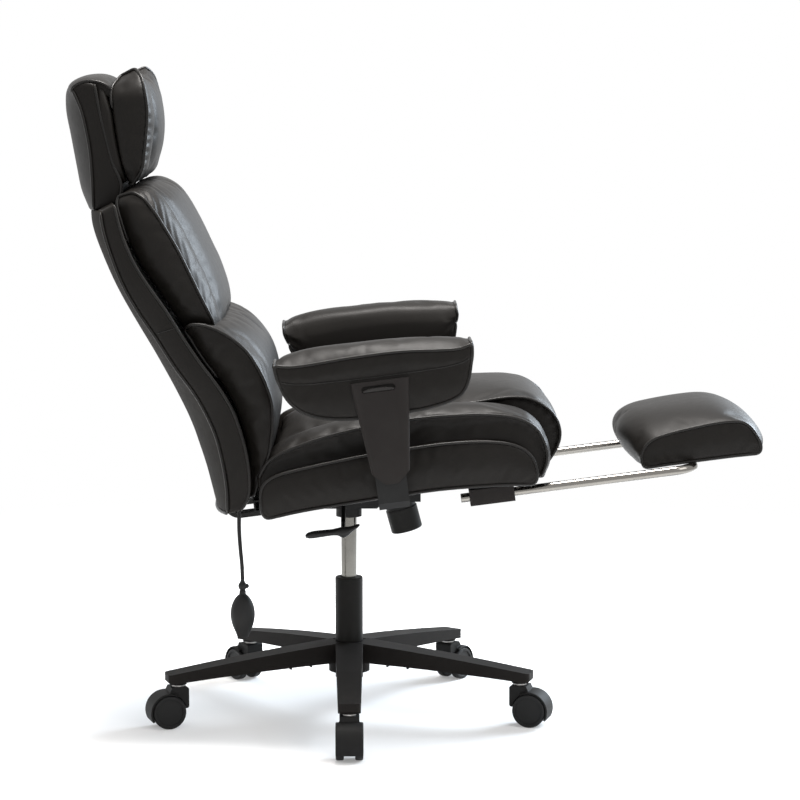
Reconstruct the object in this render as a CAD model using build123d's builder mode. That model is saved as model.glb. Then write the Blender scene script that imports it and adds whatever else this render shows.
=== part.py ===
from build123d import *

import os
from math import cos, pi, radians, sin, sqrt, tan

# Office chair with a pull-out footrest, in millimetres.
# +X is the way the chair faces, +Y the sitter's left and +Z up.
# The origin is on the floor, under the axis of the gas lift.
# Seat, back, arms and footrest are laid out in a seat frame that leans back with the seat.

# Clearances
RUNNING_FIT = 0.06
PRESS_FIT = 0.02
SOFT_GAP = 0.5
BODY_GAP = 0.3

# Casters
WHEEL_RADIUS = 30.0
WHEEL_WIDTH = 14.0
CASTER_WEB = 18.4
CASTER_TRAIL = 21.0
CASTER_HEIGHT = 73.0
HOOD_GAP = 1.4
HOOD_WALL = 3.0
HOOD_LOW_ANGLE = -28.0
HOOD_HIGH_ANGLE = 118.0
HOOD_ROUND = 2.4
STEM_RADIUS = 5.5
NECK_HALF_LENGTH = 15.5
NECK_HALF_WIDTH = 17.0
NECK_DEPTH = 37.0
NECK_ROUND = 4.0
STEM_BITE = 24.0
STEM_COLLAR_RADIUS = 11.5
STEM_COLLAR_HEIGHT = 3.4
STEM_ENGAGEMENT = 16.0
AXLE_RADIUS = 3.0
AXLE_COVER = 3.0
WHEEL_DISH = 2.0
WHEEL_ROUND = 3.0

# Five-star base
LEG_COUNT = 5
FIRST_LEG_ANGLE = -90.0
BASE_RADIUS = 320.0
LEG_ROOT = 26.0
LEG_OVERHANG = 21.0
LEG_RISE = 40.0
LEG_ARCH = 2.5
LEG_SPANS = 4
LEG_WIDTH_AT_HUB = 50.0
LEG_WIDTH_AT_TIP = 39.0
LEG_DEPTH_AT_HUB = 37.0
LEG_DEPTH_AT_TIP = 17.0
LEG_WALL = 3.6
LEG_RIB_COUNT = 6
LEG_RIB_WALL = 3.0
LEG_RIB_DROP = 2.5
LEG_TIP_ROUND = 7.0
LEG_TIP_CHAMFER = 3.2
SOCKET_RADIUS = 15.0
HUB_RADIUS = 37.0
HUB_DEPTH = 54.0

# Gas lift
TUBE_RADIUS = 25.0
TUBE_WALL = 2.5
TUBE_STANDOUT = 112.3
TUBE_BURIED = 70.0
BUSH_LENGTH = 90.0
BUSH_LIP = 2.0
CYLINDER_RADIUS = 14.0
CYLINDER_WALL = 2.4
CYLINDER_SEAL = 12.0
ROD_RADIUS = 5.0
PISTON_HEIGHT = 14.0
BEARING_RADIUS = 16.0
BEARING_HEIGHT = 8.0
CLIP_RADIUS = 10.0
CLIP_THICKNESS = 2.0
LIFT_STROKE = 85.0
LIFT_RESERVE = 26.4
RELEASE_PIN_RADIUS = 4.0
RELEASE_PIN_PROUD = 6.0

# Tilt mechanism
SOCKET_DEPTH = 26.0
CONE_SOCKET_RADIUS = 23.0
HOUSING_HALF_WIDTH = 56.0
HOUSING_WALL = 4.0
HOUSING_REAR = -88.0
HOUSING_FRONT = 128.0
HOUSING_STEP = 50.0
HOUSING_LIFT = 22.0
HOUSING_HEIGHT = 26.0
HOUSING_REAR_HEIGHT = 12.0
HOUSING_FRONT_HEIGHT = 14.0
HOUSING_SHOULDER = -20.0
PIVOT_X = 20.0
PIVOT_RISE = 36.0
PIVOT_RADIUS = 6.0
TOWER_LEAN = 15.0
TOWER_X = 88.0
TOWER_RADIUS = 27.0
TOWER_LENGTH = 24.0
TOWER_NECK_RADIUS = 24.0
TOWER_NECK_LENGTH = 18.0
TOWER_WALL = 3.0
SPRING_WIRE_RADIUS = 3.0
SPRING_RADIUS = 15.5
SPRING_TURNS = 4
TENSION_BOLT_RADIUS = 5.0
TENSION_BOLT_HEAD_RADIUS = 9.0
TENSION_BOLT_HEAD = 6.0
KNOB_RADIUS = 28.4
KNOB_WALL = 3.4
KNOB_LENGTH = 42.0
KNOB_FLOOR = 7.0

# Height lever
LEVER_X = -10.0
LEVER_RISE = 32.0
LEVER_FALL = 22.0
LEVER_ROD_RADIUS = 4.0
LEVER_REACH = 246.0
LEVER_BEND = 8.0
LEVER_HOLE_PLAY = 0.8
LEVER_FINGER_END = 9.0
LEVER_FINGER_BEND = -27.0
LEVER_WALL_BEND = -44.0
LEVER_HIGH_BEND = -94.0
LEVER_LOW_BEND = -134.0
PADDLE_LENGTH = 65.0
PADDLE_TAIL = 30.0
PADDLE_TAIL_RISE = 16.0
PADDLE_TIP_DROP = 9.0
PADDLE_BLADE = 5.5
PADDLE_BOSS = 8.5
PADDLE_SAG = 1.5
PADDLE_WIDTH = 26.0

# Seat frame
SEAT_LEAN = 7.2
SEAT_RISE = 61.0
BOARD_UNDERSIDE = 8.0
BOARD_THICKNESS = 12.0
BOARD_REAR = -122.0
BOARD_FRONT = 318.0
BOARD_SETBACK = 26.0
BOARD_CORNER = 30.0

# Tilt plate, in the seat frame
PLATE_THICKNESS = 4.0
PLATE_REAR = -170.0
PLATE_FRONT = 128.0
PLATE_HALF_WIDTH = 82.0
CHEEK_WALL = 4.0
CHEEK_HALF_LENGTH = 48.0
CHEEK_BELOW_PIVOT = 11.0
CROSS_FRONT = -100.0
CROSS_DEPTH = 21.0
CROSS_WALL = 3.0
CROSS_HALF_WIDTH = 98.0

# Fasteners
BOLT_RADIUS = 3.0
BOLT_HEAD_RADIUS = 5.5
BOLT_HEAD_HEIGHT = 4.0
BOLT_BITE = 8.0
PLATE_BOLT_X = (-70.0, 100.0)
PLATE_BOLT_Y = 72.0
ARM_BOLT_X = (64.0, 92.0)
ARM_BOLT_SHARE = 0.58
BRACKET_BOLT_X = (-118.0, -152.0)

# Seat cushions, in the seat frame
SEAT_REAR = -146.0
SEAT_FRONT = 346.0
SEAT_NOSE = 354.0
SEAT_HALF_WIDTH = 262.0
SEAT_SIDE_ROUND = 9.0
HEM_ARCH = 12.6
HEM_END = -4.0
BOXING_TOP = 86.0
BOXING_FALL = 13.0
BOXING_REAR_ROUND = 42.0
BOXING_FRONT_ROUND = 46.0
NOSE_HEIGHT = 24.0
TIER_THICKNESS = 47.0
TIER_HALF_WIDTH = 252.0
TIER_SHOULDER = 34.0
TIER_SIDE_DROP = 9.0
TIER_SETBACK = 34.0
TIER_REAR_RISE = 10.0
TIER_FRONT_RISE = 27.0
TIER_NOSE = 8.0
PAD_MIDDLE = 110.0
PAD_HALF_WIDTH = 168.0
PAD_SHOULDER = 0.66
PAD_SHOULDER_SHARE = 0.78
PAD_EDGE = 9.0
PAD_CROWN = 38.0
PAD_NOSE = 29.0
PAD_SWELL = 11.0
PAD_FRONT_ROUND = 32.0

# Back, in the seat frame: height, rear face on the centre line, depth of the side band
BACK_STATIONS = (
    (24.0, -242.0, 22.0),
    (60.0, -246.0, 36.0),
    (110.0, -255.0, 46.0),
    (170.0, -269.0, 54.0),
    (240.0, -294.0, 54.0),
    (310.0, -324.0, 47.0),
    (380.0, -354.0, 45.0),
    (450.0, -377.0, 32.0),
    (515.0, -389.0, 22.0),
    (546.0, -391.0, 18.0),
)
BACK_HALF_WIDTH = 250.0
BACK_SHOULDER = 450.0
BACK_TOP_NARROWING = 26.0
REAR_WRAP = 48.0
FRONT_WRAP = 14.0
REAR_PANEL_THICKNESS = 9.0
REAR_PANEL_MARGIN = 4.0
BRACKET_SPACE = 16.0
BACK_BOARD_THICKNESS = 11.0
BACK_BOARD_HALF_WIDTH = 176.0
BACK_BOARD_TOP = 480.0

# Lumbar pad and upper back pad: height, depth of the side panel, crown at the centre
LUMBAR_STATIONS = (
    (36.0, 8.0, 2.0),
    (60.0, 15.0, 2.0),
    (110.0, 38.0, 3.0),
    (170.0, 58.0, 6.0),
    (240.0, 74.0, 15.0),
    (285.0, 77.0, 24.0),
    (318.0, 60.0, 32.0),
    (338.0, 26.0, 40.0),
)
UPPER_STATIONS = (
    (342.0, 44.0, 22.0),
    (380.0, 57.0, 28.0),
    (450.0, 70.0, 35.0),
    (515.0, 69.0, 38.0),
    (546.0, 62.0, 40.0),
    (574.0, 44.0, 36.0),
    (588.0, 22.0, 24.0),
)
PAD_SIDE_DRAW = 6.0
BLADDER_HALF_WIDTH = 115.0
BLADDER_LOW = 120.0
BLADDER_HIGH = 250.0
BLADDER_THICKNESS = 18.0

# Back brackets, in the seat frame
BRACKET_Y = 70.0
BRACKET_WIDTH = 40.0
BRACKET_THICKNESS = 8.0
BRACKET_BEND = 24.0
BRACKET_TOP = 170.0
BRACKET_START = -104.0
BACK_BOLT_HEIGHTS = (86.0, 142.0)
BACK_BOLT_BITE = 12.0
BOARD_BOSS_RADIUS = 10.0

# Headrest, in the seat frame: height, rear face at the centre and at the sides, half width
HEADREST_STATIONS = (
    (546.5, -395.0, -368.0, 136.0),
    (566.0, -402.0, -368.0, 148.0),
    (640.0, -406.0, -366.0, 154.0),
    (720.0, -409.0, -369.0, 154.0),
    (758.0, -403.0, -372.0, 148.0),
    (777.0, -382.0, -362.0, 132.0),
)
HEADREST_SPLIT = -344.0
HEADREST_SWELL = 1.0
# Headrest pillow: height, front of the wings, front of the centre pad, half width
PILLOW_STATIONS = (
    (590.0, -308.0, -272.0, 150.0),
    (612.0, -280.0, -264.0, 163.0),
    (650.0, -268.0, -252.0, 168.0),
    (710.0, -257.0, -245.0, 170.0),
    (755.0, -259.0, -249.0, 166.0),
    (780.0, -276.0, -268.0, 150.0),
)
PILLOW_CENTRE_SHARE = 0.62
PILLOW_VALLEY = 20.0

# Arms, in the seat frame
ARM_STANDOFF = 64.0
ARM_HALF_WIDTH = 47.0
ARM_REAR = -87.0
ARM_FRONT = 238.0
ARM_TOP = 265.0
ARM_BOTTOM = 162.0
ARM_CROWN = 21.0
ARM_REAR_FLAT = 0.0
ARM_FRONT_FLAT = 150.0
ARM_END_ROUND = 21.0
ARM_END_RISE = 42.0
ARM_DRAW = 8.0
SLEEVE_PROUD = 3.0
SLEEVE_THICKNESS = 36.0
SLEEVE_TOP = 222.0
SLEEVE_TOP_REAR = 30.0
SLEEVE_TOP_FRONT = 129.0
SLEEVE_FOOT_REAR = 47.0
SLEEVE_FOOT_FRONT = 111.0
SLEEVE_FOOT = 47.0
SLEEVE_FOOT_ROUND = 20.0
SLEEVE_EDGE_ROUND = 5.0
POST_REAR = 52.0
POST_FRONT = 104.0
POST_THICKNESS = 22.0
POST_TOP = 150.0
POST_SLOT_TOP = 196.0
ARM_PLATE_THICKNESS = 5.5
ARM_PLATE_OVERLAP = 31.0
ARM_PLATE_BEND = 12.0
BUTTON_X = 76.0
BUTTON_LENGTH = 56.0
BUTTON_HEIGHT = 10.0
BUTTON_PROUD = 4.0
BUTTON_DEPTH = 7.0
BUTTON_BELOW_TOP = 13.0

# Footrest, in the seat frame
RAIL_Y = 190.0
RAIL_RADIUS = 8.0
RAIL_WALL = 1.5
RAIL_HEIGHT = -23.0
RAIL_REAR = 193.0
CROSSBAR_X = 603.0
RAIL_BEND = 34.0
GUIDE_REAR = 208.0
GUIDE_FRONT = 286.0
GUIDE_WALL = 6.0
GUIDE_FLANGE = 4.0
GUIDE_FLANGE_OVERHANG = 15.0
GUIDE_NECK = 9.0
REST_BOARD_THICKNESS = 10.0
REST_BOARD_MARGIN = 12.0
REST_REAR = 506.0
REST_FRONT = 722.0
REST_HALF_WIDTH = 165.0
REST_SIDE_HEIGHT = 60.0
REST_CROWN = 32.0
REST_SWELL = 13.0
REST_ROUND = 34.0
REST_FALL = 10.0
CLAMP_Y = 95.0
CLAMP_WIDTH = 24.0
CLAMP_WALL = 4.0
CLAMP_FOOT = 52.0

# Lumbar hand pump
HOSE_Y = -130.0
HOSE_X = -190.0
HOSE_RADIUS = 3.5
HOSE_BEND_SHARE = 0.45
HOSE_DROPS = (0.0, 28.0, 62.0, 98.0, 128.0, 152.0)
HOSE_SIDEWAYS = (0.0, -1.5, -2.0, 0.5, 3.5, 3.5)
VALVE_RADIUS = 7.6
VALVE_LENGTH = 16.0
VALVE_NECK_RADIUS = 4.6
VALVE_NECK_LENGTH = 1.6
VALVE_KNOB_RADIUS = 4.0
BULB_RADIUS = 21.5
BULB_LENGTH = 83.0
BULB_NECK_RADIUS = 5.6
BULB_SHAPE = (
    (0.08, 0.28),
    (0.16, 0.6),
    (0.29, 0.86),
    (0.47, 1.0),
    (0.61, 0.97),
    (0.77, 0.81),
    (0.9, 0.6),
    (1.0, 0.46),
)


def sagitta(radius, half_chord):
    """Depth of an arc of this radius over this half chord."""
    return radius - sqrt(radius**2 - half_chord**2)


# Heights worked out from the floor up
socket_bottom = CASTER_HEIGHT + STEM_COLLAR_HEIGHT + BODY_GAP
leg_top_at_tip = socket_bottom + STEM_ENGAGEMENT + LEG_WALL
leg_top_at_hub = leg_top_at_tip + LEG_RISE
leg_end = BASE_RADIUS + LEG_OVERHANG
tube_top = leg_top_at_hub + TUBE_STANDOUT
tube_bottom = leg_top_at_hub - TUBE_BURIED
tube_bore = TUBE_RADIUS - TUBE_WALL
bearing_top = tube_bottom + TUBE_WALL + BEARING_HEIGHT
cylinder_bottom = bearing_top + LIFT_STROKE + LIFT_RESERVE
cone_bottom = tube_top + BUSH_LIP + LIFT_STROKE + LIFT_RESERVE
cylinder_top = cone_bottom + SOCKET_DEPTH
cylinder_bore = CYLINDER_RADIUS - CYLINDER_WALL
piston_bottom = cylinder_bottom + CYLINDER_SEAL + BODY_GAP
pin_top = cylinder_top + RELEASE_PIN_PROUD
housing_floor = cone_bottom + HOUSING_LIFT
housing_top = housing_floor + HOUSING_HEIGHT
housing_front_floor = housing_top - HOUSING_FRONT_HEIGHT
pivot_z = cone_bottom + PIVOT_RISE
lever_z = cone_bottom + LEVER_RISE
paddle_z = lever_z - LEVER_FALL
finger_z = pin_top + BODY_GAP + LEVER_ROD_RADIUS
seat_z = cone_bottom + SEAT_RISE

# The seat frame: local x forwards along the seat, local y to the left, local z square to the seat
lean_cos = cos(radians(SEAT_LEAN))
lean_sin = sin(radians(SEAT_LEAN))
SEAT = Plane(origin=(0, 0, seat_z), x_dir=(lean_cos, 0, lean_sin), z_dir=(-lean_sin, 0, lean_cos))
SIDE = Plane(origin=(0, 0, seat_z), x_dir=(lean_cos, 0, lean_sin), z_dir=(0, -1, 0))
ACROSS = Plane(origin=(0, 0, seat_z), x_dir=(0, 1, 0), z_dir=(lean_cos, 0, lean_sin))
tower_cos = cos(radians(TOWER_LEAN))
tower_sin = sin(radians(TOWER_LEAN))
TOWER = Plane(
    origin=(TOWER_X, 0, housing_front_floor + HOUSING_WALL),
    x_dir=(-tower_cos, 0, -tower_sin),
    z_dir=(tower_sin, 0, -tower_cos),
)
BOTTOM = (Align.CENTER, Align.CENTER, Align.MIN)

pivot_in_seat = SEAT.to_local_coords(Vector(PIVOT_X, 0, pivot_z))
plate_under = BOARD_UNDERSIDE - PLATE_THICKNESS
cross_under = plate_under - CROSS_DEPTH
cheek_inner = HOUSING_HALF_WIDTH + HOUSING_WALL / 4
board_half_width = SEAT_HALF_WIDTH - BOARD_SETBACK
arm_y = SEAT_HALF_WIDTH + ARM_STANDOFF
arm_plate_reach = board_half_width - ARM_PLATE_OVERLAP
arm_bolt_y = board_half_width - ARM_BOLT_SHARE * ARM_PLATE_OVERLAP
caster_half_width = CASTER_WEB / 2 + WHEEL_WIDTH + 2 * BODY_GAP
axle_half_length = caster_half_width - WHEEL_DISH - AXLE_COVER
hood_inner = WHEEL_RADIUS + HOOD_GAP
hood_outer = hood_inner + HOOD_WALL
knob_start = TOWER_LENGTH + BODY_GAP
sleeve_outer = arm_y + ARM_HALF_WIDTH + SLEEVE_PROUD
sleeve_middle = sleeve_outer - SLEEVE_THICKNESS / 2
rest_under = RAIL_HEIGHT + RAIL_RADIUS + BODY_GAP
front_radius = (BACK_HALF_WIDTH**2 + FRONT_WRAP**2) / (2 * FRONT_WRAP)
rear_radius = (BACK_HALF_WIDTH**2 + REAR_WRAP**2) / (2 * REAR_WRAP)
back_bottom = BACK_STATIONS[0][0]
back_top = BACK_STATIONS[-1][0]
bracket_rear = REAR_PANEL_THICKNESS + BRACKET_SPACE / 2 + sagitta(rear_radius, BRACKET_Y)
board_rear = REAR_PANEL_THICKNESS + BRACKET_SPACE
pocket_depth = board_rear + BACK_BOARD_THICKNESS + SOFT_GAP

# Bolt places in the seat frame, shared by the bolts and by every hole that they pass
plate_bolts = [(x, y) for x in PLATE_BOLT_X for y in (-PLATE_BOLT_Y, PLATE_BOLT_Y)]
arm_bolts = [(x, y) for x in ARM_BOLT_X for y in (-arm_bolt_y, arm_bolt_y)]
guide_bolt_x = (GUIDE_REAR - GUIDE_FLANGE_OVERHANG / 2, GUIDE_FRONT + GUIDE_FLANGE_OVERHANG / 2)
guide_bolts = [(x, y) for x in guide_bolt_x for y in (-RAIL_Y, RAIL_Y)]
bracket_bolts = [(x, y) for x in BRACKET_BOLT_X for y in (-BRACKET_Y, BRACKET_Y)]


def finish_piece(piece, node):
    """Label a finished piece and write it to its own file."""
    piece.part.label = node
    export_step(piece.part, f"parts/{node}.step")


def upright(radius, low, high, mode=Mode.ADD):
    """Cylinder on the chair's axis between two heights."""
    with Locations((0, 0, low)):
        Cylinder(radius, high - low, align=BOTTOM, mode=mode)


def seat_block(x_low, x_high, y_low, y_high, low, high, mode=Mode.ADD):
    """Box in the seat frame, given by its limits."""
    middle = ((x_low + x_high) / 2, (y_low + y_high) / 2, (low + high) / 2)
    with Locations(SEAT.location):
        with Locations(middle):
            Box(x_high - x_low, y_high - y_low, high - low, mode=mode)


def bolt_holes(places, low, high):
    """Clearance holes for bolts, square to the seat."""
    with Locations(SEAT.location):
        with Locations([(x, y, low) for x, y in places]):
            Cylinder(BOLT_RADIUS + BODY_GAP, high - low, align=BOTTOM, mode=Mode.SUBTRACT)


def between(stations, height, column):
    """Value of one column of a station list at a height, in straight steps between stations."""
    for low, high in zip(stations, stations[1:]):
        if height <= high[0]:
            share = (height - low[0]) / (high[0] - low[0])
            return low[column] + share * (high[column] - low[column])
    return stations[-1][column]


def back_half_width(height):
    """Half width of the back, which narrows towards its upper corners."""
    share = max(0.0, height - BACK_SHOULDER) / (back_top - BACK_SHOULDER)
    return BACK_HALF_WIDTH - BACK_TOP_NARROWING * share**2


def rear_face(height):
    """Rear face of the back on the centre line."""
    return between(BACK_STATIONS, height, 1)


def pad_seat(height):
    """Front face of the main back cushion on the centre line, where the pads rest."""
    return rear_face(height) + REAR_WRAP + between(BACK_STATIONS, height, 2) - FRONT_WRAP


def bracket_plane(side, height):
    """Plane in the middle of a back bracket's steel, square to it and facing the board."""
    slope = rear_face(height + 1) - rear_face(height)
    middle = Vector(rear_face(height) + bracket_rear, side * BRACKET_Y, height)
    forwards = SEAT.from_local_coords(middle + Vector(1, 0, -slope))
    origin = SEAT.from_local_coords(middle)
    return Plane(origin=origin, z_dir=forwards - origin)


def heights_between(low, high, stations=()):
    """Both heights with the back's own stations, and any others, that lie between them."""
    inner = {row[0] for row in (*BACK_STATIONS, *stations) if low < row[0] < high}
    return [low, *sorted(inner), high]


def plan_section(height, half_width, rear_side, rear_middle, front_side, front_middle):
    """Closed outline square to the seat normal: rear arc, side, front arc, side."""
    with BuildSketch(SEAT.offset(height), mode=Mode.PRIVATE) as section:
        with BuildLine():
            ThreePointArc((rear_side, -half_width), (rear_middle, 0), (rear_side, half_width))
            Line((rear_side, half_width), (front_side, half_width))
            ThreePointArc((front_side, half_width), (front_middle, 0), (front_side, -half_width))
            Line((front_side, -half_width), (rear_side, -half_width))
        make_face()
    return section.sketch


def shell_section(height, half_width, rear_middle, rear_arc, front_middle, front_arc):
    """Outline between two hollow arcs of the back, each given on the centre line with its radius."""
    return plan_section(
        height,
        half_width,
        rear_middle + sagitta(rear_arc, half_width),
        rear_middle,
        front_middle + sagitta(front_arc, half_width),
        front_middle,
    )


def rear_shell(low, high, half_width, near, far):
    """Sections of a layer that follows the rear face, between two depths in front of it."""
    return [
        shell_section(h, half_width(h), rear_face(h) + near, rear_radius, rear_face(h) + far, rear_radius)
        for h in heights_between(low, high)
    ]


def back_pad(stations):
    """Sections of a pad on the front of the back, with a side panel and a crowned front."""
    sections = []
    for height in heights_between(stations[0][0], stations[-1][0], stations):
        half_width = back_half_width(height) - PAD_SIDE_DRAW
        rear = pad_seat(height) + SOFT_GAP
        rear_side = rear + sagitta(front_radius, half_width)
        front_side = rear_side + between(stations, height, 1)
        front_middle = front_side + between(stations, height, 2)
        sections.append(plan_section(height, half_width, rear_side, rear, front_side, front_middle))
    return sections


def caster_planes(index):
    """Upright plane through a caster's stem and wheel centre, and the stem's own axis plane."""
    angle = radians(FIRST_LEG_ANGLE + index * 360 / LEG_COUNT)
    outward = (cos(angle), sin(angle), 0)
    stem = (BASE_RADIUS * cos(angle), BASE_RADIUS * sin(angle), 0)
    profile = Plane(origin=stem, x_dir=outward, z_dir=(sin(angle), -cos(angle), 0))
    return profile, Plane(origin=stem, x_dir=outward, z_dir=(0, 0, 1))


def caster_housing(index):
    """Hood over both wheels, with the web between them and the neck for the stem."""
    profile, floor = caster_planes(index)
    hood_arc = HOOD_HIGH_ANGLE - HOOD_LOW_ANGLE
    axle = (CASTER_TRAIL, WHEEL_RADIUS)
    neck_low = CASTER_HEIGHT - NECK_DEPTH
    with BuildPart() as housing:
        with BuildSketch(profile):
            with BuildLine():
                Polyline(
                    (-NECK_HALF_LENGTH, CASTER_HEIGHT),
                    (NECK_HALF_LENGTH, CASTER_HEIGHT),
                    (CASTER_TRAIL, WHEEL_RADIUS + hood_inner),
                    axle,
                    (-NECK_HALF_LENGTH, neck_low),
                    close=True,
                )
            neck = make_face()
            fillet(neck.vertices().sort_by(Axis.X)[:2], NECK_ROUND)
        extrude(amount=NECK_HALF_WIDTH, both=True)
        with BuildSketch(profile):
            with Locations(axle):
                Circle(hood_inner)
        extrude(amount=caster_half_width, both=True, mode=Mode.SUBTRACT)
        with BuildSketch(profile):
            with BuildLine():
                outer = CenterArc(axle, hood_outer, HOOD_LOW_ANGLE, hood_arc)
                inner = CenterArc(axle, hood_inner, HOOD_LOW_ANGLE, hood_arc)
                Line(outer @ 0, inner @ 0)
                Line(outer @ 1, inner @ 1)
            make_face()
        extrude(amount=caster_half_width, both=True)
        rims = housing.edges().filter_by(GeomType.CIRCLE)
        fillet([edge for edge in rims if abs(edge.radius - hood_outer) < PRESS_FIT], HOOD_ROUND)
        with BuildSketch(profile):
            with BuildLine():
                rim = CenterArc(axle, hood_inner, HOOD_LOW_ANGLE, hood_arc)
                Line(rim @ 1, axle)
                Line(axle, rim @ 0)
            make_face()
            with Locations(axle):
                Circle(2 * AXLE_RADIUS + HOOD_WALL)
            with BuildLine():
                Polyline(
                    (-NECK_HALF_LENGTH + NECK_ROUND, CASTER_HEIGHT),
                    (NECK_HALF_LENGTH, CASTER_HEIGHT),
                    (CASTER_TRAIL, WHEEL_RADIUS + hood_inner),
                    axle,
                    (-NECK_HALF_LENGTH + NECK_ROUND, neck_low),
                    close=True,
                )
            make_face()
        extrude(amount=CASTER_WEB / 2, both=True)
        with Locations(floor.offset(CASTER_HEIGHT - STEM_BITE).location):
            Cylinder(STEM_RADIUS + PRESS_FIT, 2 * STEM_BITE, align=BOTTOM, mode=Mode.SUBTRACT)
        with BuildSketch(profile):
            with Locations(axle):
                Circle(AXLE_RADIUS + PRESS_FIT)
        extrude(amount=caster_half_width, both=True, mode=Mode.SUBTRACT)
    finish_piece(housing, f"caster_{index + 1}_housing")


def caster_pins(index):
    """Steel stem with its collar, and the axle of the two wheels."""
    profile, floor = caster_planes(index)
    with BuildPart() as pins:
        with Locations(floor.offset(CASTER_HEIGHT - STEM_BITE).location):
            stem_length = STEM_BITE + STEM_COLLAR_HEIGHT + STEM_ENGAGEMENT - BODY_GAP
            Cylinder(STEM_RADIUS, stem_length, align=BOTTOM)
        with Locations(floor.offset(CASTER_HEIGHT).location):
            Cylinder(STEM_COLLAR_RADIUS, STEM_COLLAR_HEIGHT, align=BOTTOM)
        with BuildSketch(profile):
            with Locations((CASTER_TRAIL, WHEEL_RADIUS)):
                Circle(AXLE_RADIUS)
        extrude(amount=axle_half_length, both=True)
    finish_piece(pins, f"caster_{index + 1}_pins")


def caster_wheels(index):
    """Twin wheels, each with a rounded tread and a dished outer face."""
    profile, _ = caster_planes(index)
    inner_face = CASTER_WEB / 2 + BODY_GAP
    axle = (CASTER_TRAIL, WHEEL_RADIUS)
    with BuildPart() as wheels:
        for side in (-1, 1):
            with BuildSketch(profile.offset(side * inner_face)):
                with Locations(axle):
                    Circle(WHEEL_RADIUS)
            extrude(amount=side * WHEEL_WIDTH)
        fillet(wheels.edges().filter_by(GeomType.CIRCLE), WHEEL_ROUND)
        for side in (-1, 1):
            with BuildSketch(profile.offset(side * (inner_face + WHEEL_WIDTH))):
                with Locations(axle):
                    Circle(WHEEL_RADIUS - 2 * WHEEL_ROUND)
            extrude(amount=-side * WHEEL_DISH, mode=Mode.SUBTRACT)
        with BuildSketch(profile):
            with Locations(axle):
                Circle(AXLE_RADIUS + RUNNING_FIT)
        extrude(amount=axle_half_length + RUNNING_FIT, both=True, mode=Mode.SUBTRACT)
    finish_piece(wheels, f"caster_{index + 1}_wheels")


def leg_at(reach):
    """Top height, depth and width of a leg at a distance from the hub's axis."""
    share = reach / leg_end
    top = leg_top_at_hub - share * LEG_RISE + LEG_ARCH * sin(pi * share)
    depth = LEG_DEPTH_AT_HUB + share * (LEG_DEPTH_AT_TIP - LEG_DEPTH_AT_HUB)
    width = LEG_WIDTH_AT_HUB + share * (LEG_WIDTH_AT_TIP - LEG_WIDTH_AT_HUB)
    return top, depth, width


def leg_reaches(start, end):
    """Distances from the hub's axis at which a leg's sections stand."""
    return [start + (end - start) * number / LEG_SPANS for number in range(LEG_SPANS + 1)]


os.makedirs("parts", exist_ok=True)

# Five-star base: one leg, hollow underneath with cross ribs, then five round the hub
hollow_start = HUB_RADIUS + LEG_WALL
hollow_end = leg_end - LEG_WALL
rib_step = (BASE_RADIUS - SOCKET_RADIUS - hollow_start) / (LEG_RIB_COUNT + 1)
with BuildPart() as leg:
    for reach in leg_reaches(LEG_ROOT, leg_end):
        top, depth, width = leg_at(reach)
        with BuildSketch(Plane.YZ.offset(reach)):
            with Locations((0, top - depth / 2)):
                Rectangle(width, depth)
    loft(ruled=True)
    tip = leg.faces().sort_by(Axis.X)[-1]
    chamfer(tip.edges().sort_by(Axis.Z)[0], LEG_TIP_CHAMFER)
    tip = leg.faces().sort_by(Axis.X)[-1]
    fillet(tip.edges().filter_by(Axis.Z), LEG_TIP_ROUND)
    for reach in leg_reaches(hollow_start, hollow_end):
        top, depth, width = leg_at(reach)
        with BuildSketch(Plane.YZ.offset(reach)):
            with Locations((0, top - LEG_WALL - depth / 2)):
                Rectangle(width - 2 * LEG_WALL, depth)
    loft(ruled=True, mode=Mode.SUBTRACT)
    for number in range(LEG_RIB_COUNT):
        reach = hollow_start + (number + 1) * rib_step
        top, depth, width = leg_at(reach)
        drop = LEG_RIB_DROP if number < 2 else -LEG_RIB_DROP
        with Locations((reach, 0, top - (LEG_WALL + depth + drop) / 2)):
            Box(LEG_RIB_WALL, width - LEG_WALL, depth + drop - LEG_WALL / 2)
    socket_top = leg_at(BASE_RADIUS)[0] - LEG_WALL / 2
    with Locations((BASE_RADIUS, 0, socket_bottom)):
        Cylinder(SOCKET_RADIUS, socket_top - socket_bottom, align=BOTTOM)
        Cylinder(STEM_RADIUS + RUNNING_FIT, STEM_ENGAGEMENT, align=BOTTOM, mode=Mode.SUBTRACT)

with BuildPart() as star_base:
    hub_top = leg_at(HUB_RADIUS)[0]
    upright(HUB_RADIUS, hub_top - HUB_DEPTH, hub_top)
    for number in range(LEG_COUNT):
        add(leg.part, rotation=(0, 0, FIRST_LEG_ANGLE + number * 360 / LEG_COUNT))
    upright(TUBE_RADIUS + PRESS_FIT, tube_bottom - HUB_DEPTH, tube_top, Mode.SUBTRACT)
finish_piece(star_base, "star_base")

for caster in range(LEG_COUNT):
    caster_housing(caster)
    caster_pins(caster)
    caster_wheels(caster)

# Gas lift
with BuildPart() as gas_outer_tube:
    upright(TUBE_RADIUS, tube_bottom, tube_top)
    upright(tube_bore, tube_bottom + TUBE_WALL, tube_top, Mode.SUBTRACT)
    upright(ROD_RADIUS + RUNNING_FIT, tube_bottom, tube_bottom + TUBE_WALL, Mode.SUBTRACT)
finish_piece(gas_outer_tube, "gas_outer_tube")

with BuildPart() as gas_guide_bush:
    upright(tube_bore - PRESS_FIT, tube_top - BUSH_LENGTH, tube_top)
    upright(TUBE_RADIUS - TUBE_WALL / 2, tube_top, tube_top + BUSH_LIP)
    upright(CYLINDER_RADIUS + RUNNING_FIT, tube_top - BUSH_LENGTH, tube_top + BUSH_LIP, Mode.SUBTRACT)
finish_piece(gas_guide_bush, "gas_guide_bush")

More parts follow.
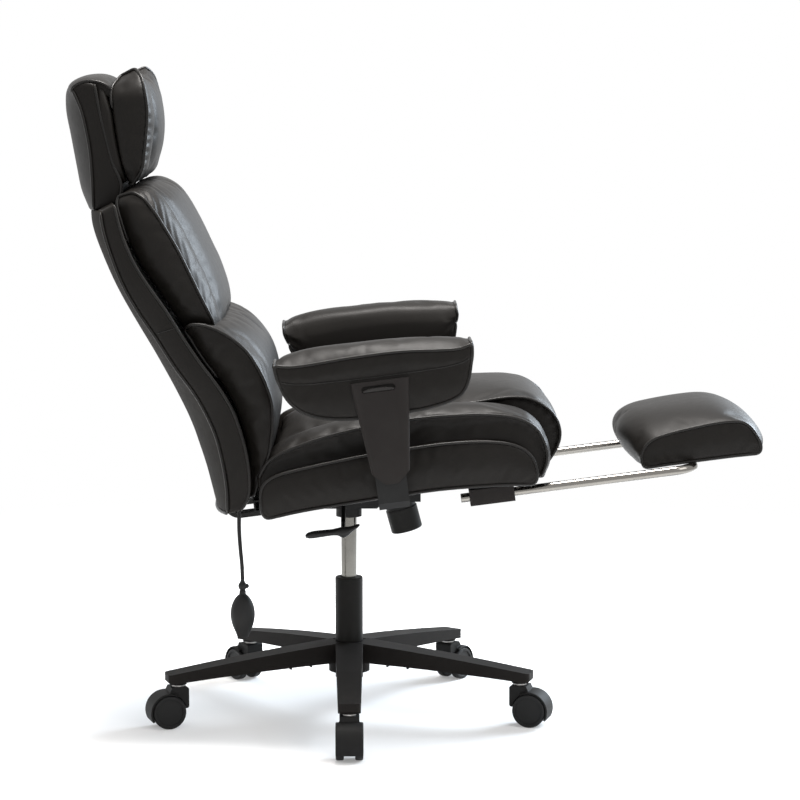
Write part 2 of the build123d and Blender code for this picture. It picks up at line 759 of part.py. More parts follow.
with BuildPart() as gas_thrust_bearing:
    upright(BEARING_RADIUS, tube_bottom + TUBE_WALL, bearing_top)
    upright(CLIP_RADIUS, tube_bottom - CLIP_THICKNESS, tube_bottom)
    upright(ROD_RADIUS + RUNNING_FIT, tube_bottom - CLIP_THICKNESS, bearing_top, Mode.SUBTRACT)
finish_piece(gas_thrust_bearing, "gas_thrust_bearing")

with BuildPart() as gas_piston_rod:
    upright(ROD_RADIUS, tube_bottom - 2 * CLIP_THICKNESS, piston_bottom)
    upright(2 * ROD_RADIUS, bearing_top + RUNNING_FIT, bearing_top + ROD_RADIUS)
    upright(cylinder_bore - RUNNING_FIT, piston_bottom, piston_bottom + PISTON_HEIGHT)
finish_piece(gas_piston_rod, "gas_piston_rod")

with BuildPart() as gas_cylinder:
    upright(CYLINDER_RADIUS, cylinder_bottom, cylinder_top)
    upright(cylinder_bore, cylinder_bottom + CYLINDER_SEAL, cylinder_top - CYLINDER_SEAL, Mode.SUBTRACT)
    upright(ROD_RADIUS + RUNNING_FIT, cylinder_bottom, cylinder_bottom + CYLINDER_SEAL, Mode.SUBTRACT)
    upright(RELEASE_PIN_RADIUS + RUNNING_FIT, cylinder_top - CYLINDER_SEAL, cylinder_top, Mode.SUBTRACT)
finish_piece(gas_cylinder, "gas_cylinder")

with BuildPart() as gas_release_pin:
    upright(RELEASE_PIN_RADIUS, cylinder_top - CYLINDER_SEAL, pin_top)
finish_piece(gas_release_pin, "gas_release_pin")

# Tilt mechanism: open pan with the cone socket below and the spring tower at the front
with BuildPart() as mechanism_housing:
    for inset, mode in ((0.0, Mode.ADD), (HOUSING_WALL, Mode.SUBTRACT)):
        lift = 2 * inset
        with BuildSketch(Plane.XZ):
            with BuildLine():
                Polyline(
                    (HOUSING_REAR + inset, housing_floor + inset),
                    (HOUSING_STEP - inset, housing_floor + inset),
                    (HOUSING_STEP - inset + HOUSING_FRONT_HEIGHT, housing_front_floor + inset),
                    (HOUSING_FRONT - inset, housing_front_floor + inset),
                    (HOUSING_FRONT - inset, housing_top + lift),
                    (HOUSING_SHOULDER, housing_top + lift),
                    (HOUSING_REAR + inset, housing_floor + HOUSING_REAR_HEIGHT + lift),
                    close=True,
                )
            make_face()
        extrude(amount=HOUSING_HALF_WIDTH - inset, both=True, mode=mode)
    upright(CONE_SOCKET_RADIUS, cone_bottom, cylinder_top)
    upright(CYLINDER_RADIUS + PRESS_FIT, cone_bottom, cylinder_top, Mode.SUBTRACT)
    with Locations(TOWER.location):
        Cylinder(TOWER_RADIUS, TOWER_LENGTH, align=BOTTOM)
        Cylinder(TOWER_NECK_RADIUS, TOWER_LENGTH + TOWER_NECK_LENGTH, align=BOTTOM)
        Cylinder(TENSION_BOLT_RADIUS + BODY_GAP, TOWER_LENGTH, mode=Mode.SUBTRACT)
    with Locations(TOWER.offset(TOWER_WALL).location):
        tower_bore = TOWER_NECK_RADIUS - TOWER_WALL
        Cylinder(tower_bore, TOWER_LENGTH + TOWER_NECK_LENGTH, align=BOTTOM, mode=Mode.SUBTRACT)
    with BuildSketch(Plane.XZ):
        with Locations((PIVOT_X, pivot_z)):
            Circle(PIVOT_RADIUS + PRESS_FIT)
    extrude(amount=HOUSING_HALF_WIDTH, both=True, mode=Mode.SUBTRACT)
    with BuildSketch(Plane.XZ):
        with Locations((LEVER_X, lever_z)):
            Circle(LEVER_ROD_RADIUS + LEVER_HOLE_PLAY)
    extrude(amount=HOUSING_HALF_WIDTH, mode=Mode.SUBTRACT)
finish_piece(mechanism_housing, "mechanism_housing")

with BuildPart() as tilt_pivot_pin:
    with BuildSketch(Plane.XZ):
        with Locations((PIVOT_X, pivot_z)):
            Circle(PIVOT_RADIUS)
    extrude(amount=cheek_inner + CHEEK_WALL + PIVOT_RADIUS / 2, both=True)
finish_piece(tilt_pivot_pin, "tilt_pivot_pin")

knob_end = knob_start + KNOB_LENGTH
spring_start = TOWER_WALL + SPRING_WIRE_RADIUS + BODY_GAP
spring_end = knob_end - KNOB_FLOOR - SPRING_WIRE_RADIUS - BODY_GAP
spring_length = spring_end - spring_start
with BuildPart() as tension_spring:
    with BuildLine() as coil:
        Helix(
            pitch=spring_length / SPRING_TURNS,
            height=spring_length,
            radius=SPRING_RADIUS,
            center=TOWER.offset(spring_start).origin,
            direction=TOWER.z_dir,
        )
    with BuildSketch(Plane(origin=coil.line @ 0, z_dir=coil.line % 0)):
        Circle(SPRING_WIRE_RADIUS)
    sweep(is_frenet=True)
finish_piece(tension_spring, "tension_spring")

bolt_start = TENSION_BOLT_HEAD + TENSION_BOLT_HEAD_RADIUS * tower_sin + BODY_GAP
with BuildPart() as tension_bolt:
    with Locations(TOWER.offset(-bolt_start).location):
        Cylinder(TENSION_BOLT_HEAD_RADIUS, TENSION_BOLT_HEAD, align=BOTTOM)
        Cylinder(TENSION_BOLT_RADIUS, bolt_start + knob_end - KNOB_FLOOR / 2, align=BOTTOM)
finish_piece(tension_bolt, "tension_bolt")

with BuildPart() as tension_knob:
    with Locations(TOWER.offset(knob_start).location):
        Cylinder(KNOB_RADIUS, KNOB_LENGTH, align=BOTTOM)
    fillet(tension_knob.edges().sort_by(Axis.Z)[0], KNOB_FLOOR / 2)
    with Locations(TOWER.offset(knob_start).location):
        Cylinder(KNOB_RADIUS - KNOB_WALL, KNOB_LENGTH - KNOB_FLOOR, align=BOTTOM, mode=Mode.SUBTRACT)
        Cylinder(
            TENSION_BOLT_RADIUS + PRESS_FIT, KNOB_LENGTH - KNOB_FLOOR / 2, align=BOTTOM, mode=Mode.SUBTRACT
        )
finish_piece(tension_knob, "tension_knob")

# Height lever: a bent rod whose inner finger lies over the release pin
with BuildPart() as lever_rod:
    with BuildLine() as lever_path:
        FilletPolyline(
            (0, LEVER_FINGER_END, finger_z),
            (0, LEVER_FINGER_BEND, finger_z),
            (LEVER_X, LEVER_WALL_BEND, lever_z),
            (LEVER_X, LEVER_HIGH_BEND, lever_z),
            (LEVER_X, LEVER_LOW_BEND, paddle_z),
            (LEVER_X, -LEVER_REACH, paddle_z),
            radius=LEVER_BEND,
        )
    with BuildSketch(Plane(origin=lever_path.line @ 0, z_dir=lever_path.line % 0)):
        Circle(LEVER_ROD_RADIUS)
    sweep()
finish_piece(lever_rod, "lever_rod")

blade_x = LEVER_X - PADDLE_LENGTH
blade_z = paddle_z - PADDLE_TIP_DROP
tail_x = LEVER_X + PADDLE_TAIL
tail_z = paddle_z + PADDLE_TAIL_RISE
waist_x = LEVER_X - PADDLE_LENGTH / 2
waist_z = paddle_z - PADDLE_TIP_DROP / 2
with BuildPart() as lever_paddle:
    with BuildSketch(Plane.XZ.offset(LEVER_REACH - PADDLE_WIDTH + PADDLE_BOSS)):
        with BuildLine():
            ThreePointArc(
                (blade_x, blade_z + PADDLE_BLADE / 2),
                (waist_x, waist_z + PADDLE_BLADE),
                (LEVER_X - PADDLE_BOSS, paddle_z + PADDLE_BOSS),
            )
            ThreePointArc(
                (LEVER_X - PADDLE_BOSS, paddle_z + PADDLE_BOSS),
                (LEVER_X + PADDLE_BOSS, paddle_z + PADDLE_BOSS + PADDLE_SAG),
                (tail_x - PADDLE_SAG, tail_z),
            )
            Line((tail_x - PADDLE_SAG, tail_z), (tail_x, tail_z - PADDLE_BLADE))
            ThreePointArc(
                (tail_x, tail_z - PADDLE_BLADE),
                (LEVER_X + 2 * PADDLE_BOSS, paddle_z),
                (LEVER_X + PADDLE_BOSS, paddle_z - PADDLE_BOSS),
            )
            ThreePointArc(
                (LEVER_X + PADDLE_BOSS, paddle_z - PADDLE_BOSS),
                (waist_x, waist_z - PADDLE_BLADE),
                (blade_x, blade_z - PADDLE_BLADE / 2),
            )
            Line((blade_x, blade_z - PADDLE_BLADE / 2), (blade_x, blade_z + PADDLE_BLADE / 2))
        make_face()
    extrude(amount=PADDLE_WIDTH)
    fillet(lever_paddle.faces().sort_by(Axis.Y)[0].edges(), PADDLE_BLADE / 4)
    with Locations(Plane.XZ.offset(LEVER_REACH - PADDLE_WIDTH).location):
        with Locations((LEVER_X, paddle_z, 0)):
            Cylinder(LEVER_ROD_RADIUS + PRESS_FIT, PADDLE_WIDTH, align=BOTTOM, mode=Mode.SUBTRACT)
finish_piece(lever_paddle, "lever_paddle")

# Tilt plate: top plate, two cheeks on the pivot pin and a boxed cross member for the back brackets
cheek_low = pivot_in_seat.Z - CHEEK_BELOW_PIVOT
with BuildPart() as tilt_plate:
    seat_block(PLATE_REAR, PLATE_FRONT, -PLATE_HALF_WIDTH, PLATE_HALF_WIDTH, plate_under, BOARD_UNDERSIDE)
    for side in (-1, 1):
        with BuildSketch(SIDE.offset(side * (cheek_inner + CHEEK_WALL / 2))):
            with BuildLine():
                Polyline(
                    (pivot_in_seat.X - CHEEK_HALF_LENGTH, BOARD_UNDERSIDE),
                    (pivot_in_seat.X - CHEEK_BELOW_PIVOT, cheek_low),
                    (pivot_in_seat.X + CHEEK_BELOW_PIVOT, cheek_low),
                    (pivot_in_seat.X + CHEEK_HALF_LENGTH, BOARD_UNDERSIDE),
                    close=True,
                )
            make_face()
            with Locations((pivot_in_seat.X, pivot_in_seat.Z)):
                Circle(PIVOT_RADIUS + RUNNING_FIT, mode=Mode.SUBTRACT)
        extrude(amount=CHEEK_WALL / 2, both=True)
    seat_block(PLATE_REAR, CROSS_FRONT, -CROSS_HALF_WIDTH, CROSS_HALF_WIDTH, cross_under, plate_under)
    seat_block(
        PLATE_REAR + CROSS_WALL,
        CROSS_FRONT - CROSS_WALL,
        -CROSS_HALF_WIDTH,
        CROSS_HALF_WIDTH,
        cross_under + CROSS_WALL,
        plate_under - CROSS_WALL,
        Mode.SUBTRACT,
    )
    bolt_holes(plate_bolts, plate_under, BOARD_UNDERSIDE)
    bolt_holes(bracket_bolts, cross_under, cross_under + CROSS_WALL)
finish_piece(tilt_plate, "tilt_plate")

board_top = BOARD_UNDERSIDE + BOARD_THICKNESS
board_centre = ((BOARD_REAR + BOARD_FRONT) / 2, 0)
with BuildPart() as seat_board:
    with BuildSketch(SEAT.offset(BOARD_UNDERSIDE)):
        with Locations(board_centre):
            RectangleRounded(BOARD_FRONT - BOARD_REAR, 2 * board_half_width, BOARD_CORNER)
    extrude(amount=BOARD_THICKNESS)
    bolt_holes(plate_bolts + arm_bolts + guide_bolts, BOARD_UNDERSIDE, BOARD_UNDERSIDE + BOLT_BITE + BODY_GAP)
finish_piece(seat_board, "seat_board")

# Bolts: heads below, shanks up into what they hold; those of the back are sunk in its brackets
back_bolt_planes = [bracket_plane(side, h) for side in (-1, 1) for h in BACK_BOLT_HEIGHTS]
with BuildPart() as frame_bolts:
    for places, head_top, bite in (
        (plate_bolts, plate_under, PLATE_THICKNESS + BOLT_BITE),
        (arm_bolts, BOARD_UNDERSIDE - ARM_PLATE_THICKNESS, ARM_PLATE_THICKNESS + BOLT_BITE),
        (guide_bolts, BOARD_UNDERSIDE - GUIDE_FLANGE, GUIDE_FLANGE + BOLT_BITE),
        (bracket_bolts, cross_under - BRACKET_THICKNESS, BRACKET_THICKNESS + CROSS_WALL + BOLT_RADIUS),
    ):
        with Locations(SEAT.location):
            with Locations([(x, y, head_top - BOLT_HEAD_HEIGHT) for x, y in places]):
                Cylinder(BOLT_HEAD_RADIUS, BOLT_HEAD_HEIGHT, align=BOTTOM)
                Cylinder(BOLT_RADIUS, BOLT_HEAD_HEIGHT + bite, align=BOTTOM)
    for plane in back_bolt_planes:
        with Locations(plane.offset(-BRACKET_THICKNESS / 2).location):
            Cylinder(BOLT_HEAD_RADIUS, BRACKET_THICKNESS / 2, align=BOTTOM)
            Cylinder(BOLT_RADIUS, BRACKET_THICKNESS + BACK_BOLT_BITE, align=BOTTOM)
finish_piece(frame_bolts, "frame_bolts")


def boxing_line(gap):
    """Top line of the seat boxing, rear shoulder to nose, moved out by a gap."""
    points = (
        (SEAT_REAR + BOXING_REAR_ROUND, BOXING_TOP - BOXING_FALL),
        (PAD_MIDDLE, BOXING_TOP),
        (SEAT_FRONT - BOXING_FRONT_ROUND, BOXING_TOP - BOXING_FALL),
        (SEAT_FRONT - BOXING_FALL / 3, BOXING_TOP - 2 * BOXING_FALL),
        (SEAT_NOSE, NOSE_HEIGHT),
    )
    return [(x + gap, h + gap) for x, h in points]


def tier_line(drop, gap=0.0):
    """Outer line of the upper tier, rear end to nose, lowered at the sides and moved out by a gap."""
    points = (
        (SEAT_REAR + TIER_SETBACK, BOXING_TOP + TIER_REAR_RISE - drop),
        (PAD_MIDDLE, BOXING_TOP + TIER_THICKNESS - drop),
        (SEAT_FRONT - BOXING_FRONT_ROUND, BOXING_TOP + TIER_FRONT_RISE - drop),
        (SEAT_FRONT + TIER_NOSE / 2 - drop / 2, BOXING_TOP - drop),
        (SEAT_NOSE + TIER_NOSE - drop / 2, NOSE_HEIGHT),
    )
    return [(x + gap, h + gap) for x, h in points]


def pad_line(share):
    """Outer line of the centre pad, rear end to chin, between its piped edge and its full crown."""
    points = (
        (SEAT_REAR + TIER_SETBACK, BOXING_TOP + TIER_REAR_RISE + PAD_EDGE, PAD_CROWN / 3, 0.0),
        (PAD_MIDDLE, BOXING_TOP + TIER_THICKNESS + PAD_EDGE, PAD_CROWN - PAD_EDGE, 0.0),
        (SEAT_FRONT - PAD_FRONT_ROUND, BOXING_TOP + TIER_THICKNESS, PAD_CROWN / 2, 0.0),
        (SEAT_FRONT + PAD_NOSE / 2, BOXING_TOP + TIER_FRONT_RISE - PAD_EDGE / 2, 0.0, PAD_SWELL),
        (SEAT_NOSE + PAD_NOSE - PAD_EDGE / 2, NOSE_HEIGHT + PAD_CROWN, 0.0, PAD_SWELL),
        (SEAT_NOSE + PAD_NOSE - PAD_EDGE, NOSE_HEIGHT + PAD_EDGE, 0.0, PAD_SWELL),
        (SEAT_NOSE + PAD_NOSE / 2, NOSE_HEIGHT - PAD_EDGE, 0.0, PAD_SWELL / 2),
    )
    return [(x + share * swell, h + share * rise) for x, h, rise, swell in points]


def base_section(y, inset):
    """Outline of the lower cushion: arched hem, boxing sides and rounded top."""
    rear_top, crown, front_top, corner, nose = boxing_line(-inset)
    rear = SEAT_REAR + inset
    front = SEAT_FRONT - inset
    hem = HEM_END + inset
    with BuildSketch(SIDE.offset(-y), mode=Mode.PRIVATE) as section:
        with BuildLine():
            ThreePointArc((rear, hem), (PAD_MIDDLE, hem + HEM_ARCH), (front, hem))
            Line((front, hem), nose)
            ThreePointArc(nose, corner, front_top)
            ThreePointArc(front_top, crown, rear_top)
            Line(rear_top, (rear, BOXING_TOP / 2))
            Line((rear, BOXING_TOP / 2), (rear, hem))
        make_face()
    return section.sketch


def tier_section(y, drop):
    """Outline of the upper tier, which lies on the boxing and wraps its nose."""
    rear_low, crown_low, front_low, corner_low, nose_low = boxing_line(SOFT_GAP)
    rear_top, crown, front_top, corner, nose = tier_line(drop)
    with BuildSketch(SIDE.offset(-y), mode=Mode.PRIVATE) as section:
        with BuildLine():
            ThreePointArc(rear_low, crown_low, front_low)
            ThreePointArc(front_low, corner_low, nose_low)
            Line(nose_low, nose)
            ThreePointArc(nose, corner, front_top)
            ThreePointArc(front_top, crown, rear_top)
            Line(rear_top, rear_low)
        make_face()
    return section.sketch


def centre_section(y, share):
    """Outline of the centre pad, which lies on the tier and hangs over its nose."""
    rear_low, crown_low, front_low, corner_low, nose_low = tier_line(0.0, SOFT_GAP)
    rear_top, crown, front_top, corner, nose, cheek, chin = pad_line(share)
    with BuildSketch(SIDE.offset(-y), mode=Mode.PRIVATE) as section:
        with BuildLine():
            ThreePointArc(rear_low, crown_low, front_low)
            ThreePointArc(front_low, corner_low, nose_low)
            Line(nose_low, chin)
            ThreePointArc(chin, cheek, nose)
            ThreePointArc(nose, corner, front_top)
            ThreePointArc(front_top, crown, rear_top)
            Line(rear_top, rear_low)
        make_face()
    return section.sketch


with BuildPart() as seat_base_cushion:
    side_full = SEAT_HALF_WIDTH - SEAT_SIDE_ROUND
    loft(
        [
            base_section(-SEAT_HALF_WIDTH, SEAT_SIDE_ROUND),
            base_section(-side_full, 0.0),
            base_section(side_full, 0.0),
            base_section(SEAT_HALF_WIDTH, SEAT_SIDE_ROUND),
        ],
        ruled=True,
    )
    with BuildSketch(SEAT.offset(HEM_END - SEAT_SIDE_ROUND)):
        with Locations(board_centre):
            RectangleRounded(
                BOARD_FRONT - BOARD_REAR + 2 * SOFT_GAP,
                2 * (board_half_width + SOFT_GAP),
                BOARD_CORNER + SOFT_GAP,
            )
    extrude(amount=board_top + BODY_GAP - HEM_END + SEAT_SIDE_ROUND, mode=Mode.SUBTRACT)
    for side in (-1, 1):
        seat_block(
            POST_REAR - SOFT_GAP,
            POST_FRONT + SOFT_GAP,
            min(side * board_half_width, side * 2 * SEAT_HALF_WIDTH),
            max(side * board_half_width, side * 2 * SEAT_HALF_WIDTH),
            HEM_END,
            BOARD_UNDERSIDE + SOFT_GAP,
            Mode.SUBTRACT,
        )
    seat_block(
        PLATE_REAR,
        BOARD_REAR + BOARD_CORNER,
        -CROSS_HALF_WIDTH - SOFT_GAP,
        CROSS_HALF_WIDTH + SOFT_GAP,
        cross_under,
        BOARD_UNDERSIDE + SOFT_GAP,
        Mode.SUBTRACT,
    )
finish_piece(seat_base_cushion, "seat_base_cushion")

with BuildPart() as seat_top_cushion:
    tier_full = TIER_HALF_WIDTH - TIER_SHOULDER
    loft(
        [
            tier_section(-TIER_HALF_WIDTH, TIER_SIDE_DROP),
            tier_section(-tier_full, 0.0),
            tier_section(tier_full, 0.0),
            tier_section(TIER_HALF_WIDTH, TIER_SIDE_DROP),
        ],
        ruled=True,
    )
finish_piece(seat_top_cushion, "seat_top_cushion")

with BuildPart() as seat_center_pad:
    loft(
        [
            centre_section(-PAD_HALF_WIDTH, 0.0),
            centre_section(-PAD_HALF_WIDTH * PAD_SHOULDER, PAD_SHOULDER_SHARE),
            centre_section(0.0, 1.0),
            centre_section(PAD_HALF_WIDTH * PAD_SHOULDER, PAD_SHOULDER_SHARE),
            centre_section(PAD_HALF_WIDTH, 0.0),
        ],
        ruled=True,
    )
finish_piece(seat_center_pad, "seat_center_pad")

# Back: padded rear panel, pocket for the brackets and the board, main cushion and two pads
with BuildPart() as back_rear_panel:
    loft(
        rear_shell(
            back_bottom + REAR_PANEL_MARGIN,
            back_top - REAR_PANEL_MARGIN,
            lambda h: back_half_width(h) - REAR_PANEL_MARGIN,
            0.0,
            REAR_PANEL_THICKNESS,
        ),
        ruled=True,
    )
finish_piece(back_rear_panel, "back_rear_panel")

with BuildPart() as back_board:
    loft(
        rear_shell(
            back_bottom + REAR_PANEL_MARGIN,
            BACK_BOARD_TOP,
            lambda h: BACK_BOARD_HALF_WIDTH,
            board_rear,
            board_rear + BACK_BOARD_THICKNESS,
        ),
        ruled=True,
    )
    for plane in back_bolt_planes:
        with Locations(plane.offset(BRACKET_THICKNESS / 2).location):
            Cylinder(BOARD_BOSS_RADIUS, BRACKET_SPACE / 2, align=BOTTOM)
            Cylinder(BOLT_RADIUS + BODY_GAP, BACK_BOLT_BITE + BODY_GAP, align=BOTTOM, mode=Mode.SUBTRACT)
finish_piece(back_board, "back_board")

with BuildPart() as back_main_cushion:
    loft(
        [
            shell_section(
                h,
                back_half_width(h),
                rear_face(h) + REAR_PANEL_THICKNESS + SOFT_GAP,
                rear_radius,
                pad_seat(h),
                front_radius,
            )
            for h in heights_between(back_bottom, back_top)
        ],
        ruled=True,
    )
    loft(
        rear_shell(
            back_bottom,
            BACK_BOARD_TOP + SOFT_GAP,
            lambda h: BACK_BOARD_HALF_WIDTH + SOFT_GAP,
            0.0,
            pocket_depth,
        ),
        ruled=True,
        mode=Mode.SUBTRACT,
    )
    loft(
        [
            shell_section(
                h,
                BLADDER_HALF_WIDTH + SOFT_GAP,
                pad_seat(h) - BLADDER_THICKNESS - SOFT_GAP,
                front_radius,
                pad_seat(h) + BLADDER_THICKNESS,
                front_radius,
            )
            for h in heights_between(BLADDER_LOW - SOFT_GAP, BLADDER_HIGH + SOFT_GAP)
        ],
        ruled=True,
        mode=Mode.SUBTRACT,
    )
finish_piece(back_main_cushion, "back_main_cushion")

with BuildPart() as lumbar_air_bladder:
    loft(
        [
            shell_section(
                h,
                BLADDER_HALF_WIDTH,
                pad_seat(h) - BLADDER_THICKNESS,
                front_radius,
                pad_seat(h),
                front_radius,
            )
            for h in heights_between(BLADDER_LOW, BLADDER_HIGH)
        ],
        ruled=True,
    )
finish_piece(lumbar_air_bladder, "lumbar_air_bladder")

with BuildPart() as lumbar_pad:
    loft(back_pad(LUMBAR_STATIONS), ruled=True)
finish_piece(lumbar_pad, "lumbar_pad")

with BuildPart() as back_upper_pad:
    loft(back_pad(UPPER_STATIONS), ruled=True)
finish_piece(back_upper_pad, "back_upper_pad")

# Back brackets: flat steel bars, bolted under the cross member and bent up behind the board
bracket_low = cross_under - BRACKET_THICKNESS / 2
bracket_rise = [(rear_face(h) + bracket_rear, h) for h in heights_between(back_bottom, BRACKET_TOP)]
bracket_slope = (bracket_rise[1][0] - bracket_rise[0][0]) / (bracket_rise[1][1] - bracket_rise[0][1])
bracket_corner = bracket_rise[0][0] - bracket_slope * (back_bottom - bracket_low)
with BuildPart() as back_brackets:
    for side in (-1, 1):
        with BuildLine(SIDE.offset(-side * BRACKET_Y)) as bar_path:
            FilletPolyline(
                (BRACKET_START, bracket_low),
                (bracket_corner, bracket_low),
                *bracket_rise[1:],
                radius=BRACKET_BEND,
            )
        with BuildSketch(Plane(origin=bar_path.line @ 0, x_dir=(0, 1, 0), z_dir=bar_path.line % 0)):
            Rectangle(BRACKET_WIDTH, BRACKET_THICKNESS)
        sweep(path=bar_path.line)
    bolt_holes(bracket_bolts, cross_under - 2 * BRACKET_THICKNESS, cross_under)
    for plane in back_bolt_planes:
        with Locations(plane.location):
            Cylinder(BOLT_RADIUS + BODY_GAP, BRACKET_THICKNESS, mode=Mode.SUBTRACT)
        with Locations(plane.offset(-BRACKET_THICKNESS).location):
            Cylinder(BOLT_HEAD_RADIUS + BODY_GAP, BRACKET_THICKNESS, align=BOTTOM, mode=Mode.SUBTRACT)
finish_piece(back_brackets, "back_brackets")

# Headrest: boxed rear block and winged pillow
with BuildPart() as headrest_core:
    loft(
        [
            plan_section(h, width, rear_side, rear, HEADREST_SPLIT - HEADREST_SWELL, HEADREST_SPLIT)
            for h, rear, rear_side, width in HEADREST_STATIONS
        ],
        ruled=True,
    )
finish_piece(headrest_core, "headrest_core")


def pillow_section(height, wing, centre, half_width):
    """Outline of the headrest pillow: flat rear, full wings and a centre pad between two valleys."""
    rear = HEADREST_SPLIT + SOFT_GAP
    valley_y = half_width * PILLOW_CENTRE_SHARE
    valley = centre - PILLOW_VALLEY
    wing_y = (half_width + valley_y) / 2
    with BuildSketch(SEAT.offset(height), mode=Mode.PRIVATE) as section:
        with BuildLine():
            Line((rear, -half_width), (rear, half_width))
            Line((rear, half_width), (wing - PILLOW_VALLEY / 2, half_width))
            ThreePointArc((wing - PILLOW_VALLEY / 2, half_width), (wing, wing_y), (valley, valley_y))
            ThreePointArc((valley, valley_y), (centre, 0), (valley, -valley_y))
            ThreePointArc((valley, -valley_y), (wing, -wing_y), (wing - PILLOW_VALLEY / 2, -half_width))
            Line((wing - PILLOW_VALLEY / 2, -half_width), (rear, -half_width))
        make_face()
    return section.sketch


with BuildPart() as headrest_pillow:
    loft([pillow_section(*row) for row in PILLOW_STATIONS], ruled=True)
finish_piece(headrest_pillow, "headrest_pillow")


def sleeve_outline(plane, gap):
    """Side outline of the arm's upright cover, grown by a gap."""
    with BuildSketch(plane, mode=Mode.PRIVATE) as outline:
        with BuildLine():
            Polyline(
                (SLEEVE_FOOT_FRONT - SLEEVE_FOOT_ROUND, SLEEVE_FOOT - gap),
                (SLEEVE_FOOT_FRONT + gap, SLEEVE_FOOT + SLEEVE_FOOT_ROUND),
                (SLEEVE_TOP_FRONT + gap, SLEEVE_TOP + gap),
                (SLEEVE_TOP_REAR - gap, SLEEVE_TOP + gap),
                (SLEEVE_FOOT_REAR - gap, SLEEVE_FOOT + SLEEVE_FOOT_ROUND),
                (SLEEVE_FOOT_REAR + SLEEVE_FOOT_ROUND, SLEEVE_FOOT - gap),
                close=True,
            )
        make_face()
    return outline.sketch


def arm_section(y, crown, draw):
    """Side outline of an arm pad: crowned top, flat middle underneath and two round ends."""
    rear = (ARM_REAR, ARM_TOP)
    front = (ARM_FRONT, ARM_TOP)
    low = ARM_BOTTOM + draw
    middle = (ARM_REAR_FLAT + ARM_FRONT_FLAT) / 2
    rear_round = (ARM_REAR + ARM_END_ROUND + draw, ARM_BOTTOM + ARM_END_RISE)
    front_round = (ARM_FRONT - ARM_END_ROUND - draw, ARM_BOTTOM + ARM_END_RISE)
    with BuildSketch(SIDE.offset(-y), mode=Mode.PRIVATE) as section:
        with BuildLine():
            ThreePointArc(rear, (middle, ARM_TOP + crown), front)
            ThreePointArc(front, front_round, (ARM_FRONT_FLAT, low))
            Line((ARM_FRONT_FLAT, low), (ARM_REAR_FLAT, low))
            ThreePointArc((ARM_REAR_FLAT, low), rear_round, rear)
        make_face()
    return section.sketch


def arm_pad(side, node):
    """Padded arm with a notch on its outer side, where the upright cover is let in."""
    with BuildPart() as pad:
        loft(
            [
                arm_section(side * arm_y + share * ARM_HALF_WIDTH, crown * ARM_CROWN, draw * ARM_DRAW)
                for share, crown, draw in ((-1.0, 0.1, 1.0), (-0.55, 0.8, 0.0), (0.0, 1.0, 0.0),
                                           (0.55, 0.8, 0.0), (1.0, 0.1, 1.0))
            ],
            ruled=True,
        )
        notch = sleeve_outline(SIDE.offset(-side * (sleeve_outer - SLEEVE_THICKNESS - BODY_GAP)), BODY_GAP)
        extrude(notch, amount=-side * 2 * SLEEVE_THICKNESS, mode=Mode.SUBTRACT)
    finish_piece(pad, node)


def arm_sleeve(side, node):
    """Moulded upright cover with the slot for the post and the pocket of the release button."""
    post_gap = POST_THICKNESS / 2 + BODY_GAP
    with BuildPart() as sleeve:
        outline = sleeve_outline(SIDE.offset(-side * sleeve_middle), 0.0)
        extrude(outline, amount=SLEEVE_THICKNESS / 2, both=True)
        fillet(sleeve.edges().filter_by(lambda edge: edge.length > SLEEVE_TOP / 2), SLEEVE_EDGE_ROUND)
        seat_block(
            POST_REAR - BODY_GAP,
            POST_FRONT + BODY_GAP,
            side * sleeve_middle - post_gap,
            side * sleeve_middle + post_gap,
            0.0,
            POST_SLOT_TOP,
            Mode.SUBTRACT,
        )
        with BuildSketch(SIDE.offset(-side * sleeve_outer)):
            with Locations((BUTTON_X, SLEEVE_TOP - BUTTON_BELOW_TOP)):
                SlotOverall(BUTTON_LENGTH + 2 * BODY_GAP, BUTTON_HEIGHT + 2 * BODY_GAP)
        extrude(amount=side * (BUTTON_DEPTH + BUTTON_PROUD), mode=Mode.SUBTRACT)
    finish_piece(sleeve, node)


def arm_button(side, node):
    """Release button of the arm height, an oval lip on the outer face of the cover."""
    with BuildPart() as button:
        with BuildSketch(SIDE.offset(-side * (sleeve_outer + BUTTON_PROUD))):
            with Locations((BUTTON_X, SLEEVE_TOP - BUTTON_BELOW_TOP)):
                SlotOverall(BUTTON_LENGTH, BUTTON_HEIGHT)
        extrude(amount=side * (BUTTON_DEPTH + BUTTON_PROUD))
    finish_piece(button, node)


def arm_bracket(side, node):
    """Steel post of an arm, hollow, with the plate that bolts it under the seat board."""
    post_inner = sleeve_middle - POST_THICKNESS / 2
    post_outer = sleeve_middle + POST_THICKNESS / 2
    plate_low = BOARD_UNDERSIDE - ARM_PLATE_THICKNESS
    with BuildPart() as bracket:
        with BuildSketch(ACROSS.offset(POST_REAR)):
            with BuildLine():
                Polyline(
                    (side * arm_plate_reach, BOARD_UNDERSIDE),
                    (side * arm_plate_reach, plate_low),
                    (side * (post_outer - ARM_PLATE_BEND), plate_low),
                    (side * post_outer, plate_low + ARM_PLATE_BEND),
                    (side * post_outer, POST_TOP),
                    (side * post_inner, POST_TOP),
                    (side * post_inner, BOARD_UNDERSIDE),
                    close=True,
                )
            make_face()
        extrude(amount=POST_FRONT - POST_REAR)
        seat_block(
            POST_REAR + CHEEK_WALL,
            POST_FRONT - CHEEK_WALL,
            side * sleeve_middle - POST_THICKNESS / 2 + CHEEK_WALL,
            side * sleeve_middle + POST_THICKNESS / 2 - CHEEK_WALL,
            BOARD_UNDERSIDE + ARM_PLATE_BEND,
            POST_TOP,
            Mode.SUBTRACT,
        )
        bolt_holes(arm_bolts, plate_low, BOARD_UNDERSIDE)
    finish_piece(bracket, node)


